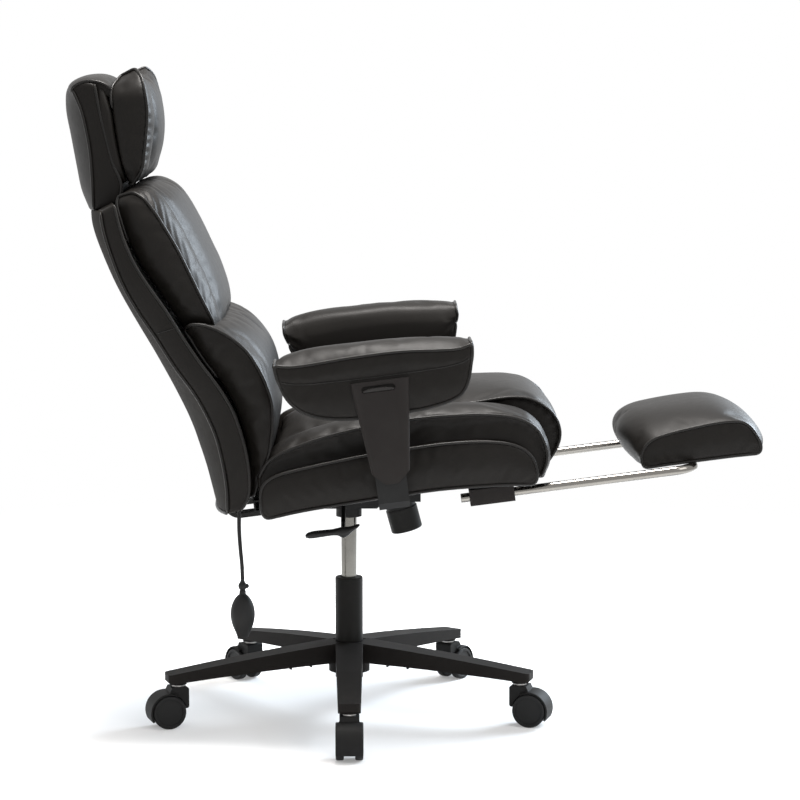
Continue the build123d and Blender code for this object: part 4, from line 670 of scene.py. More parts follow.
@dataclass
class Bolster(Cushion):
    """A pad that runs up the back: a rear line and a front line, sewn at the sides and crowned between."""

    rear: Rail
    front_side: Rail
    front_middle: Rail
    half_rear: float
    half_front: float
    cells: tuple[int, int, int]
    rear_middle: Rail | None = None
    narrowing: tuple[float, float] = (0.0, 0.0)
    crown_power: float = 2.4
    channel: Triple = (0.0, 0.0, 0.0)
    top_arch: float = 0.0

    def crown(self, out: Array) -> Array:
        """How far the front stands between its side line and its middle line.

        Args:
            out: Shares of the half width, 0 in the middle.

        Returns:
            0 at the side line and 1 in the middle.
        """
        where, height, _ = self.channel
        if where <= 0:
            return 1 - out**self.crown_power
        inner = height + (1 - height) * (1 - np.clip(out / where, 0, 1) ** self.crown_power)
        outer = height * (1 - np.clip((out - where) / (1 - where), 0, 1) ** WING_POWER)
        return np.where(out <= where, inner, outer)

    def place(self, share: Array) -> Array:
        """Place the lattice's corners.

        Args:
            share: The corners' shares across, up and forward.

        Returns:
            Points of the seat frame, in mm.
        """
        u, v, w = share.T
        across = 2 * u - 1
        out = np.abs(across)
        front = self.front_side.at(v)
        front = front + (self.front_middle.at(v) - front) * self.crown(out)[:, None]
        where, _, depth = self.channel
        if where > 0:
            gap = (out - where) * self.half_front
            ends = np.sin(math.pi * v) ** CHANNEL_END_POWER
            front[:, 0] -= depth * np.exp(-((gap / CHANNEL_WIDTH) ** 2)) * ends
        rear = self.rear.at(v)
        if self.rear_middle is not None:
            rear = rear + (self.rear_middle.at(v) - rear) * (1 - out**2)[:, None]
        flat = rear + (front - rear) * w[:, None]
        flat[:, 1] += self.top_arch * np.sin(math.pi * w) * np.clip((v - 1) / TOP_SHARE + 1, 0, 1) ** 2
        top, bottom = self.narrowing
        half = self.half_rear + (self.half_front - self.half_rear) * w
        half = half - top * np.clip((v - 1) / TOP_NARROWING + 1, 0, 1) ** 2
        half = half - bottom * np.clip(1 - v / FOOT_NARROWING, 0, 1) ** 2
        ends = np.sin(math.pi * np.clip(v, 0, 1)) ** BOLSTER_END_POWER
        puff = np.sign(across) * self.side_puff * 4 * w * (1 - w) * ends * out**PUFF_POWER
        return np.column_stack([flat[:, 0], across * half + puff, flat[:, 1]])


@dataclass
class Upholsterer:
    """Sews, stuffs and pipes the cushions."""

    leather: Material
    matt: Material
    trim: Material
    slot: str = "cover_black"
    pipe_radius: float = 2.8
    pipe_proud: float = 1.5
    pipe_pitch: float = 4.0

    def sew(self, shape: Cushion) -> None:
        """Make one cushion with its seams, puckers and piping.

        Args:
            shape: The cushion's sizes.
        """
        lattice = BoxLattice(shape.cells)
        points = SEAT.to_world(shape.place(lattice.share))
        cover = self.matt if shape.matt else self.leather
        piece = make_object(shape.name, points, lattice.faces, cover)
        shares = piece.data.attributes.new(LATTICE_SHARE, "FLOAT_VECTOR", "POINT")
        shares.data.foreach_set("vector", lattice.share.astype(np.float32).ravel())
        rows = [seam.row(lattice) for seam in shape.seams]
        if shape.filling is not None:
            sewn = shape.hidden(lattice.share)
            for row in rows:
                sewn[row] = True
            stuff(piece, sewn, shape.filling)
        subdivide(piece)
        self._gather(piece, shape, rows)
        self._pipe(piece, shape, rows)
        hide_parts(shape.node)
        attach(piece, shape.body)
        LOG.info("sewed %s", shape.name)

    def _gather(self, piece: Piece, shape: Cushion, rows: list[Array]) -> None:
        """Put the puckers beside the seams that have them.

        Args:
            piece: The cushion.
            shape: The cushion's sizes.
            rows: The seams' corners.
        """
        shares = piece.data.attributes[LATTICE_SHARE]
        flat = np.zeros(len(piece.data.vertices) * 3)
        shares.data.foreach_get("vector", flat)
        share = flat.reshape(-1, 3)
        piece.data.attributes.remove(shares)
        for seam, row in zip(shape.seams, rows):
            if seam.gather is None:
                continue
            points = read_rows(piece.data)
            allowed = seam.gather.allowed(share, seam.axis, seam.gather_on, shape.cells)
            normals = read_rows(piece.data, "normal")
            write_points(piece.data, seam.gather.move(points, normals, points[row], allowed))

    def _pipe(self, piece: Piece, shape: Cushion, rows: list[Array]) -> None:
        """Lay piping along the piped seams.

        Args:
            piece: The cushion.
            shape: The cushion's sizes.
            rows: The seams' corners.
        """
        points = read_rows(piece.data)
        normals = read_rows(piece.data, "normal")
        verts, faces, count = [], [], 0
        for seam, row in zip(shape.seams, rows):
            if not seam.piped:
                continue
            radius = seam.radius or self.pipe_radius
            proud = self.pipe_proud * radius / self.pipe_radius
            line = even_line(points[row] + normals[row] * proud * MM, self.pipe_pitch * MM, seam.closed)
            ring, quads = tube(line, radius * MM, seam.closed)
            verts.append(ring)
            faces += [tuple(i + count for i in quad) for quad in quads]
            count += len(ring)
        if not verts:
            return
        piping = make_object(f"{shape.name}_piping", np.vstack(verts), faces, self.trim)
        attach(piping, shape.body)


@dataclass
class SeatCushions:
    """The seat: a boxed base, a softer tier on it and a centre pad that rolls over the front."""

    boxing_line: Rail = Rail((
        (-148, 6), (-147, 34), (-142, 53), (-124, 65), (-75, 73), (47, 83), (119, 85), (184, 85),
        (252, 79), (296, 67), (318, 49), (326, 22), (323, 1),
    ))
    hem_line: Rail = Rail(((-144, -4), (-60, 2), (140, 7.5), (250, 3), (319, -3)))
    tier_line: Rail = Rail((
        (-146, 64), (-124, 93), (-70, 112), (1, 125), (70, 131), (131, 133), (191, 131), (256, 124),
        (306, 111), (335, 90), (346, 60), (345, 31), (331, 6),
    ))
    tier_foot: Rail = Rail((
        (-151, 38), (-132, 60), (-75, 72), (47, 82), (119, 84), (184, 84), (252, 78), (292, 66),
        (313, 48), (320, 24), (318, 4),
    ))
    pad_line: Rail = Rail((
        (-112, 107), (-60, 118), (20, 129), (110, 136), (180, 137), (242, 136), (282, 138), (309, 137),
        (336, 130), (360, 113), (375, 92), (379, 64), (368, 38), (342, 10),
    ))
    pad_crown: Rail = Rail((
        (-110, 114), (-60, 138), (20, 158), (110, 168), (180, 167), (240, 158), (294, 150), (318, 143),
        (342, 131), (365, 110), (381, 84), (387, 54), (375, 26), (344, 4),
    ))
    pad_foot: Rail = Rail((
        (-108, 98), (-60, 112), (20, 124), (110, 130), (191, 128), (258, 121), (306, 108), (336, 88),
        (347, 60), (343, 32), (328, 8),
    ))
    base_half: float = 259.0
    tier_half: float = 247.0
    pad_half: float = 165.0

    def build(self, upholsterer: Upholsterer) -> None:
        """Sew the three cushions."""
        for shape in (self._base(), self._tier(), self._pad()):
            upholsterer.sew(shape)

    def _base(self) -> Loaf:
        """The boxed base, piped round its side panels."""
        return Loaf(
            "seat_base", "seat_base_cushion", "seat",
            self.boxing_line, self.boxing_line, self.hem_line,
            half_top=self.base_half, half_bottom=self.base_half - 4,
            cells=(76, 64, 10),
            side_puff=6.0,
            hollow=11.0,
            seams=both(Axis.V),
            filling=Filling(pressure=3.0, slack=0.01, cap=5.0),
        )

    def _tier(self) -> Loaf:
        """The softer tier with drawn-in sides."""
        ruffle = Gather(height=1.5, reach=13, pitch=17, seed=11, span=(0.42, 0.9))
        return Loaf(
            "seat_tier", "seat_top_cushion", "seat",
            self.tier_line, self.tier_line, self.tier_foot,
            half_top=self.tier_half, half_bottom=self.tier_half,
            cells=(76, 64, 6),
            bolster=(11.0, 0.36),
            side_puff=-8.0,
            seams=tuple(Seam(Axis.U, (end, 1), gather=ruffle, gather_on=(Axis.V, end)) for end in ENDS),
            filling=Filling(pressure=3.0, slack=0.02, cap=5.0),
        )

    def _pad(self) -> Loaf:
        """The centre pad that rolls over the front edge."""
        ruffle = Gather(height=1.8, reach=16, pitch=18, seed=23, span=(0.5, 0.97))
        return Loaf(
            "seat_pad", "seat_center_pad", "seat",
            self.pad_line, self.pad_crown, self.pad_foot,
            half_top=self.pad_half, half_bottom=self.pad_half - 3,
            cells=(76, 44, 5),
            side_puff=-5.0,
            seams=tuple(Seam(Axis.U, (end, 1), gather=ruffle, gather_on=(Axis.V, end)) for end in ENDS),
            filling=Filling(pressure=3.0, slack=0.02, cap=5.0),
        )


@dataclass
class BackRest:
    """The back: a rear panel, a boxed main cushion, a lumbar pad and an upper pad."""

    rear_middle: Rail = Rail((
        (-238, -2), (-243, 36), (-248, 73), (-255, 110), (-263, 148), (-275, 188), (-306, 274),
        (-335, 344), (-362, 415), (-383, 489), (-389, 524), (-388, 548),
    ))
    rear_edge: Rail = Rail((
        (-209, 8), (-204, 50), (-205, 102), (-212, 154), (-234, 217), (-264, 273), (-290, 329),
        (-313, 375), (-332, 423), (-344, 468), (-353, 515), (-355, 550),
    ))
    band_edge: Rail = Rail((
        (-186, 12), (-168, 38), (-162, 78), (-164, 128), (-174, 182), (-185, 211), (-199, 239),
        (-220, 276), (-243, 322), (-266, 373), (-284, 407), (-305, 450), (-319, 493), (-326, 530),
        (-329, 560),
    ))
    lumbar_rear: Rail = Rail((
        (-172, 30), (-166, 46), (-162, 78), (-162, 128), (-170, 182), (-180, 211), (-193, 239),
        (-214, 276), (-233, 318), (-240, 332),
    ))
    lumbar_edge: Rail = Rail((
        (-160, 34), (-150, 59), (-130, 93), (-116, 136), (-109, 178), (-110, 205), (-122, 248),
        (-140, 285), (-169, 315), (-202, 335), (-230, 340),
    ))
    lumbar_middle: Rail = Rail((
        (-162, 36), (-148, 60), (-128, 95), (-114, 127), (-105, 164), (-103, 186), (-104, 237),
        (-109, 266), (-126, 299), (-151, 328), (-175, 341), (-212, 344),
    ))
    upper_rear: Rail = Rail((
        (-238, 322), (-257, 366), (-276, 403), (-299, 448), (-314, 490), (-322, 528), (-326, 556),
        (-322, 570),
    ))
    upper_edge: Rail = Rail((
        (-190, 326), (-191, 342), (-202, 375), (-217, 421), (-232, 466), (-250, 509), (-265, 540),
        (-281, 563), (-298, 574),
    ))
    upper_middle: Rail = Rail((
        (-174, 330), (-174, 346), (-175, 378), (-184, 425), (-192, 449), (-208, 499), (-225, 542),
        (-243, 573), (-266, 588), (-288, 585),
    ))
    half: float = 250.0
    shell_gap: float = 9.0
    cross_seam: float = 0.6
    thin_seam: float = 1.0

    def build(self, upholsterer: Upholsterer) -> None:
        """Sew the panel and the three cushions."""
        for shape in (self._rear_panel(), self._main(), self._lumbar(), self._upper()):
            upholsterer.sew(shape)

    def _rear_panel(self) -> Bolster:
        """The curved cover of the back's rear."""
        return Bolster(
            "back_shell", "back_rear_panel", "seat",
            self.rear_edge.moved(self.shell_gap), self.rear_edge, self.rear_middle,
            half_rear=self.half - 16, half_front=self.half - 13,
            cells=(64, 70, 2),
            rear_middle=self.rear_middle.moved(self.shell_gap),
            narrowing=(24, 6),
            crown_power=2.0,
            matt=True,
            seams=(*both(Axis.V, 1), Seam(Axis.U, (0, 1))),
        )

    def _main(self) -> Bolster:
        """The boxed main cushion, whose sides show as bands."""
        return Bolster(
            "back_main", "back_main_cushion", "seat",
            self.rear_edge.moved(2), self.band_edge, self.band_edge.moved(-14),
            half_rear=self.half - 11, half_front=self.half,
            cells=(64, 70, 7),
            rear_middle=self.rear_middle.moved(self.shell_gap + 2),
            narrowing=(26, 8),
            crown_power=2.0,
            side_puff=3.0,
            seams=(
                *both(Axis.V, 1),
                *both(Axis.V, 0, piped=False),
                *both(Axis.W, self.cross_seam, radius=self.thin_seam),
            ),
        )

    def _lumbar(self) -> Bolster:
        """The lumbar pad."""
        return Bolster(
            "back_lumbar", "lumbar_pad", "seat",
            self.lumbar_rear, self.lumbar_edge, self.lumbar_middle,
            half_rear=self.half - 26, half_front=self.half - 9,
            cells=(62, 48, 9),
            narrowing=(2, 16),
            side_puff=9.0,
            seams=both(Axis.U, gap=True),
            filling=Filling(pressure=3.0, slack=0.015, cap=6.0),
        )

    def _upper(self) -> Bolster:
        """The upper pad with its gathered strips."""
        ruffle = Gather(height=2.0, reach=26, pitch=30, seed=41, lean=-2.0)
        where = 0.75
        return Bolster(
            "back_upper", "back_upper_pad", "seat",
            self.upper_rear, self.upper_edge, self.upper_middle,
            half_rear=self.half - 36, half_front=self.half - 23,
            cells=(64, 40, 9),
            narrowing=(20, 14),
            channel=(where, 0.66, 4.0),
            side_puff=11.0,
            seams=winged(where, ruffle),
            filling=Filling(pressure=3.0, slack=0.015, cap=6.0),
        )


@dataclass
class HeadRest:
    """The headrest: a boxed block behind, a rolled top cover, a strip and a winged pillow in front."""

    rear_middle: Rail = Rail((
        (-391, 547), (-401, 582), (-404, 621), (-407, 681), (-409, 722), (-405, 752), (-399, 764),
    ))
    rear_edge: Rail = Rail((
        (-373, 548), (-367, 606), (-364, 649), (-365, 684), (-369, 722), (-377, 750), (-381, 761),
    ))
    block_front: Rail = Rail((
        (-338, 548), (-322, 572), (-319, 592), (-328, 623), (-334, 668), (-339, 717), (-341, 764),
    ))
    strip_rear: Rail = Rail(((-324, 588), (-330, 623), (-336, 668), (-340, 717), (-341, 763)))
    strip_front: Rail = Rail(((-310, 590), (-314, 626), (-317, 670), (-318, 714), (-327, 759)))
    wing_rear: Rail = Rail((
        (-306, 587), (-313, 626), (-316, 670), (-316, 714), (-313, 752), (-296, 771),
    ))
    wing_edge: Rail = Rail((
        (-300, 585), (-279, 611), (-272, 634), (-263, 672), (-256, 707), (-256, 739), (-260, 766),
        (-271, 781),
    ))
    pillow_middle: Rail = Rail((
        (-288, 588), (-270, 602), (-265, 619), (-253, 648), (-246, 683), (-246, 724), (-250, 749),
        (-266, 762),
    ))
    cap_top: Rail = Rail((
        (-399, 756), (-397, 764), (-386, 772), (-363, 778), (-340, 777), (-326, 772), (-312, 761),
        (-308, 750),
    ))
    cap_side: Rail = Rail((
        (-383, 755), (-379, 762), (-368, 768), (-354, 770), (-340, 768), (-328, 763), (-318, 755),
        (-313, 747),
    ))
    cap_foot: Rail = Rail(((-378, 742), (-368, 744), (-350, 744), (-330, 742), (-320, 738)))
    half: float = 152.0

    def build(self, upholsterer: Upholsterer) -> None:
        """Sew the block, its top cover, the strip and the pillow."""
        for shape in (self._block(), self._cap(), self._strip(), self._pillow()):
            upholsterer.sew(shape)

    def _block(self) -> Bolster:
        """The boxed block behind."""
        return Bolster(
            "headrest_block", "headrest_core", "seat",
            self.rear_edge, self.block_front, self.block_front,
            half_rear=self.half - 10, half_front=self.half,
            cells=(40, 36, 9),
            rear_middle=self.rear_middle,
            narrowing=(3, 8),
            side_puff=3.0,
            top_arch=6.0,
            seams=both(Axis.V, 0) + both(Axis.V, 1),
        )

    def _cap(self) -> Loaf:
        """The rolled cover on the block's top."""
        return Loaf(
            "headrest_cap", "headrest_core", "seat",
            self.cap_side, self.cap_top, self.cap_foot,
            half_top=self.half - 4, half_bottom=self.half - 6,
            cells=(28, 36, 4),
            crown_power=2.4,
            rear_taper=10.0,
            seams=both(Axis.U, 1),
            filling=Filling(pressure=2.0, slack=0.01, cap=2.5),
        )

    def _strip(self) -> Bolster:
        """The narrow puffed strip between the block and the pillow."""
        return Bolster(
            "headrest_strip", "headrest_core", "seat",
            self.strip_rear, self.strip_front, self.strip_front,
            half_rear=self.half - 2, half_front=self.half + 1,
            cells=(36, 28, 4),
            narrowing=(12, 10),
            side_puff=6.0,
        )

    def _pillow(self) -> Bolster:
        """The winged pillow."""
        ruffle = Gather(height=2.8, reach=17, pitch=14, seed=61)
        where = 0.6
        return Bolster(
            "headrest_cushion", "headrest_pillow", "seat",
            self.wing_rear, self.wing_edge, self.pillow_middle,
            half_rear=self.half + 2, half_front=self.half + 14,
            cells=(44, 32, 8),
            narrowing=(46, 14),
            channel=(where, 0.6, 4.0),
            side_puff=6.0,
            seams=winged(where, ruffle),
            filling=Filling(pressure=3.0, slack=0.015, cap=5.0),
        )


@dataclass
class ArmRests:
    """The two boat-shaped arm pads."""

    top_edge: Rail = Rail((
        (-92, 268), (-80, 264), (-62, 261), (-31, 261), (36, 264), (119, 264), (185, 258), (216, 256),
        (232, 259), (240, 264),
    ))
    top_middle: Rail = Rail((
        (-90, 269), (-66, 278), (-12, 285), (55, 286), (122, 283), (172, 278), (214, 271), (238, 265),
    ))
    waist: Rail = Rail(((-88, 240), (-60, 232), (0, 229), (80, 228), (160, 229), (212, 232), (237, 240)))
    bottom: Rail = Rail((
        (-84, 234), (-79, 215), (-65, 194), (-47, 180), (-18, 169), (22, 163), (75, 162), (123, 163),
        (168, 167), (210, 179), (225, 201), (234, 235),
    ))
    middle_y: float = 326.0
    half: float = 45.0

    def build(self, upholsterer: Upholsterer) -> None:
        """Sew both arm pads."""
        for side in Side:
            upholsterer.sew(self._pad(side))

    def _pad(self, side: Side) -> Loaf:
        """One arm pad, with piped top and side panels.

        Args:
            side: The sitter's side.

        Returns:
            The pad's sizes.
        """
        name = side.name.lower()
        share = 0.6
        outer = int(side is Side.LEFT)
        return Loaf(
            f"arm_cushion_{name}", f"arm_pad_{name}", f"arm_{name}",
            self.top_edge, self.top_middle, self.bottom,
            half_top=self.half, half_bottom=self.half - 5,
            cells=(52, 12, 15),
            middle_y=side.value * self.middle_y,
            crown_power=2.2,
            side_puff=4.0,
            seam_line=self.waist,
            half_seam=self.half - 1.0,
            seam_share=share,
            round_side=Side(-side.value),
            seams=(
                Seam(Axis.V, (outer,)),
                Seam(Axis.U, (outer, share), radius=1.1),
                Seam(Axis.U, (0,)),
                Seam(Axis.U, (1,)),
                Seam(Axis.U, (1 - outer, 0)),
            ),
            filling=Filling(pressure=2.0, slack=0.01, cap=1.6),
        )


@dataclass
class FootRest:
    """The footrest's crowned pad."""

    edge: Rail = Rail((
        (517, -12), (516, 8), (529, 27), (551, 36), (622, 45), (674, 47), (701, 41), (715, 22),
        (723, -1), (722, -11),
    ))
    middle: Rail = Rail((
        (505, -12), (493, 14), (486, 40), (496, 57), (521, 68), (556, 72), (610, 74), (652, 72),
        (682, 63), (714, 42), (732, 19), (741, -3), (740, -11),
    ))
    foot: Rail = Rail(((518, -15), (615, -15), (720, -15)))
    half: float = 164.0

    def build(self, upholsterer: Upholsterer) -> None:
        """Sew the pad."""
        upholsterer.sew(Loaf(
            "footrest_cushion", "footrest_pad", "footrest",
            self.edge, self.middle, self.foot,
            half_top=self.half, half_bottom=self.half - 2,
            cells=(46, 46, 8),
            crown_power=2.8,
            side_puff=3.0,
            seams=both(Axis.V),
            filling=Filling(pressure=2.0, slack=0.01, cap=3.0),
        ))


class Nodes:
    """A short way of writing shader nodes in one tree."""

    def __init__(self, tree: Tree) -> None:
        """Keep the tree."""
        self.tree = tree

    def add(self, kind: str, values: dict | None = None, **settings: object) -> Node:
        """Add a node.

        Args:
            kind: The node's type.
            values: What its inputs are filled with.
            settings: Values of its own properties.

        Returns:
            The node.
        """
        node = self.tree.nodes.new(kind)
        for key, value in settings.items():
            setattr(node, key, value)
        self.fill(node, values or {})
        return node

    def fill(self, node: Node, values: dict) -> None:
        """Set a node's inputs.

        Args:
            node: The node.
            values: Its input sockets by name or number, each with a value or the socket that gives it.
        """
        for key, value in values.items():
            if isinstance(value, Socket):
                self.tree.links.new(value, node.inputs[key])
            else:
                node.inputs[key].default_value = value

    def place(self) -> Socket:
        """The place in the object's own space."""
        return self.add("ShaderNodeTexCoord").outputs["Object"]

    def noise(
        self,
        place: Socket,
        scale: Socket | float,
        detail: float,
        roughness: float,
        distortion: float = 0.0,
    ) -> Socket:
        """Add a noise.

        Args:
            place: Where it is read.
            scale: Its scale.
            detail: How many finer layers it has.
            roughness: How strong the finer layers are.
            distortion: How far it is warped.

        Returns:
            The noise's value.
        """
        values = {"Vector": place, "Scale": scale, "Detail": detail}
        values |= {"Roughness": roughness, "Distortion": distortion}
        return self.add("ShaderNodeTexNoise", values).outputs["Fac"]

    def blend(self, share: Socket, low: Triple, high: Triple) -> Socket:
        """Mix two colours by a share.

        Args:
            share: The socket that gives the share.
            low: The colour at 0.
            high: The colour at 1.

        Returns:
            The mixed colour.
        """
        values = {"Factor": share, "A": (*low, 1), "B": (*high, 1)}
        return self.add("ShaderNodeMix", values, data_type="RGBA").outputs["Result"]

    def spread(self, value: Socket, low: float, high: float) -> Socket:
        """Spread a value from 0 to 1 over a range.

        Args:
            value: The socket that gives the value.
            low: The result at 0.
            high: The result at 1.

        Returns:
            The spread value.
        """
        span = self.add("ShaderNodeMapRange", {"Value": value, "To Min": low, "To Max": high})
        return span.outputs["Result"]

    def math(self, operation: str, first: Socket, second: Socket | float) -> Socket:
        """Do one sum on two values.

        Args:
            operation: The sum's name.
            first: The first value.
            second: The second value, a socket or a number.

        Returns:
            The result.
        """
        return self.add("ShaderNodeMath", {0: first, 1: second}, operation=operation).outputs[0]

    def plus(self, value: Socket, weight: float, other: Socket) -> Socket:
        """Add a weighted value to another."""
        return self.math("ADD", self.math("MULTIPLY", value, weight), other)

    def seen(self) -> Socket:
        """1 for rays that look at the background, straight or by way of gloss or glass."""
        path = self.add("ShaderNodeLightPath").outputs
        seen = self.math("MAXIMUM", path["Is Camera Ray"], path["Is Glossy Ray"])
        return self.math("MAXIMUM", seen, path["Is Transmission Ray"])


class Effect(Enum):
    """The surface effects that the finishes share."""

    GRAIN = "leather_grain"
    MOULD = "moulded_skin"
    BRUSH = "drawn_metal"
    WEAR = "edge_wear"
    DUST = "settled_dust"


@dataclass
class Effects:
    """The node groups of the shared effects, each built once."""

    groups: dict[Effect, Tree] = field(default_factory=dict)

    def get(self, effect: Effect) -> Tree:
        """Give an effect's node group, building it at the first call."""
        if effect not in self.groups:
            builders = {
                Effect.GRAIN: self._grain,
                Effect.MOULD: self._mould,
                Effect.BRUSH: self._brush,
                Effect.WEAR: self._wear,
                Effect.DUST: self._dust,
            }
            self.groups[effect] = builders[effect](effect.value)
        return self.groups[effect]

    def _start(
        self, name: str, inputs: dict[str, float], outputs: tuple[str, ...]
    ) -> tuple[Nodes, Outputs]:
        """Begin a group with its sockets.

        Args:
            name: The group's name.
            inputs: The input values by name.
            outputs: The output names.

        Returns:
            The group's nodes and what comes in.
        """
        tree = bpy.data.node_groups.new(name, "ShaderNodeTree")
        for key, value in inputs.items():
            socket = tree.interface.new_socket(name=key, in_out="INPUT", socket_type="NodeSocketFloat")
            socket.default_value = value
        for key in outputs:
            tree.interface.new_socket(name=key, in_out="OUTPUT", socket_type="NodeSocketFloat")
        nodes = Nodes(tree)
        return nodes, nodes.add("NodeGroupInput").outputs

    def _end(self, nodes: Nodes, outputs: dict[str, Socket]) -> Tree:
        """Put a group's values out.

        Args:
            nodes: The group's nodes.
            outputs: The values by name.

        Returns:
            The finished group.
        """
        nodes.add("NodeGroupOutput", outputs)
        return nodes.tree

    def _grain(self, name: str) -> Tree:
        """Pebbled leather with fine creases and a slow mottle."""
        scales = {"Pebble Scale": 700.0, "Crease Scale": 60.0, "Mottle Scale": 9.0}
        nodes, given = self._start(name, scales, ("Height", "Crease", "Mottle"))
        place = nodes.place()
        cells = {"Vector": place, "Scale": given["Pebble Scale"]}
        pebble = nodes.add("ShaderNodeTexVoronoi", cells, feature="SMOOTH_F1").outputs["Distance"]
        crease = nodes.noise(place, given["Crease Scale"], detail=6.0, roughness=0.62, distortion=0.4)
        mottle = nodes.noise(place, given["Mottle Scale"], detail=3.0, roughness=0.5)
        height = nodes.plus(crease, CREASE_HEIGHT, nodes.math("MULTIPLY", pebble, PEBBLE_HEIGHT))
        return self._end(nodes, {"Height": height, "Crease": crease, "Mottle": mottle})

    def _mould(self, name: str) -> Tree:
        """The fine sparked skin of moulded plastic."""
        nodes, given = self._start(name, {"Scale": 900.0, "Mottle Scale": 14.0}, ("Height", "Mottle"))
        place = nodes.place()
        skin = nodes.noise(place, given["Scale"], detail=2.0, roughness=0.6)
        mottle = nodes.noise(place, given["Mottle Scale"], detail=4.0, roughness=0.55)
        return self._end(nodes, {"Height": skin, "Mottle": mottle})

    def _brush(self, name: str) -> Tree:
        """Fine lines along drawn or turned metal, with faint smudges."""
        nodes, given = self._start(name, {"Scale": 180.0, "Stretch": 12.0}, ("Height", "Smudge"))
        place = nodes.place()
        stretch = nodes.add("ShaderNodeCombineXYZ", {"X": 1.0, "Y": 1.0, "Z": given["Stretch"]})
        factors = {0: place, 1: stretch.outputs["Vector"]}
        squeezed = nodes.add("ShaderNodeVectorMath", factors, operation="MULTIPLY")
        line = nodes.noise(squeezed.outputs["Vector"], given["Scale"], detail=3.0, roughness=0.6)
        smudge = nodes.noise(place, scale=22.0, detail=5.0, roughness=0.6)
        return self._end(nodes, {"Height": line, "Smudge": smudge})

    def _wear(self, name: str) -> Tree:
        """A mask of rubbed edges, broken up by noise."""
        nodes, given = self._start(name, {"Low": 0.52, "High": 0.62, "Break": 30.0}, ("Mask",))
        sharp = nodes.add("ShaderNodeNewGeometry").outputs["Pointiness"]
        span = {"Value": sharp, "From Min": given["Low"], "From Max": given["High"]}
        edge = nodes.add("ShaderNodeMapRange", span).outputs["Result"]
        noise = nodes.noise(nodes.place(), given["Break"], detail=4.0, roughness=0.65)
        return self._end(nodes, {"Mask": nodes.math("MULTIPLY", edge, noise)})

    def _dust(self, name: str) -> Tree:
        """A mask of faint dust on faces that look up."""
        nodes, given = self._start(name, {"Scale": 45.0}, ("Mask",))
        normal = nodes.add("ShaderNodeNewGeometry").outputs["Normal"]
        rise = nodes.add("ShaderNodeSeparateXYZ", {"Vector": normal}).outputs["Z"]
        up = nodes.math("MAXIMUM", rise, 0.0)
        noise = nodes.noise(nodes.place(), given["Scale"], detail=5.0, roughness=0.7)
        return self._end(nodes, {"Mask": nodes.math("MULTIPLY", nodes.math("MULTIPLY", up, up), noise)})


EFFECTS = Effects()


@dataclass(frozen=True)
class Finish:
    """A surface of two tones, with a bumped skin, rubbed edges and settled dust."""

    name: str
    dark: Triple
    light: Triple
    rough: tuple[float, float]
    specular: float = 0.5
    metallic: float = 0.0
    effect: Effect = Effect.MOULD
    effect_sizes: tuple[tuple[str, float], ...] = ()
    tone_from: str = "Mottle"
    gloss_from: str = "Mottle"
    tone_share: float = 1.0
    wear: tuple[float, float] | None = None
    dust_scale: float = 60.0
    dust_share: float = 0.0
    bump: float = 0.1
    bump_depth: float = 0.0004
    rounding: float = 0.0

    def material(self) -> Material:
        """Build the finish.

        Returns:
            The new material.
        """
        material = bpy.data.materials.new(self.name)
        material.use_nodes = True
        nodes = Nodes(material.node_tree)
        shader = material.node_tree.nodes["Principled BSDF"]
        skin = self._effect(nodes, self.effect, dict(self.effect_sizes))
        share = skin[self.tone_from]
        if self.wear:
            edge = self._effect(nodes, Effect.WEAR, {"Low": self.wear[0], "High": self.wear[1]})
            share = nodes.plus(share, self.tone_share, edge["Mask"])
        if self.dust_share:
            dust = self._effect(nodes, Effect.DUST, {"Scale": self.dust_scale})
            share = nodes.plus(dust["Mask"], self.dust_share, share)
        bump = {"Strength": self.bump, "Distance": self.bump_depth, "Height": skin["Height"]}
        if self.rounding:
            bump["Normal"] = nodes.add("ShaderNodeBevel", {"Radius": self.rounding}).outputs["Normal"]
        nodes.fill(shader, {
            "Base Color": nodes.blend(share, self.dark, self.light),
            "Roughness": nodes.spread(skin[self.gloss_from], *self.rough),
            "Metallic": self.metallic,
            "Specular IOR Level": self.specular,
            "Normal": nodes.add("ShaderNodeBump", bump).outputs["Normal"],
        })
        return material

    @staticmethod
    def _effect(nodes: Nodes, effect: Effect, values: dict[str, float]) -> Outputs:
        """Put a shared effect into a material and give what it puts out."""
        return nodes.add("ShaderNodeGroup", values, node_tree=EFFECTS.get(effect)).outputs


@dataclass(frozen=True)
class Leather(Finish):
    """Soft coated leather."""

    effect: Effect = Effect.GRAIN
    effect_sizes: tuple[tuple[str, float], ...] = (("Pebble Scale", 700.0),)
    gloss_from: str = "Crease"
    tone_share: float = 0.55
    wear: tuple[float, float] | None = (0.51, 0.6)
    dust_share: float = 0.3
    bump: float = 0.22
    bump_depth: float = 0.0006


@dataclass(frozen=True)
class Plastic(Finish):
    """Moulded plastic or rubber with a sparked skin."""

    tone_share: float = 0.5
    wear: tuple[float, float] | None = (0.53, 0.68)
    dust_scale: float = 80.0
    dust_share: float = 0.4
    bump: float = 0.12
    bump_depth: float = 0.0003
    rounding: float = 0.0015


@dataclass(frozen=True)
class Metal(Finish):
    """Plated or drawn metal."""

    metallic: float = 1.0
    effect: Effect = Effect.BRUSH
    tone_from: str = "Smudge"
    gloss_from: str = "Smudge"
    tone_share: float = 0.6
    wear: tuple[float, float] | None = (0.54, 0.7)
    bump: float = 0.04
    bump_depth: float = 0.0002
    rounding: float = 0.0008


@dataclass(frozen=True)
class Paint(Metal):
    """Painted metal."""

    metallic: float = 0.0


@dataclass(frozen=True)
class Plywood(Finish):
    """Plain plywood of the boards inside."""

    effect: Effect = Effect.BRUSH
    effect_sizes: tuple[tuple[str, float], ...] = (("Scale", 40.0), ("Stretch", 9.0))
    tone_from: str = "Height"
    gloss_from: str = "Smudge"


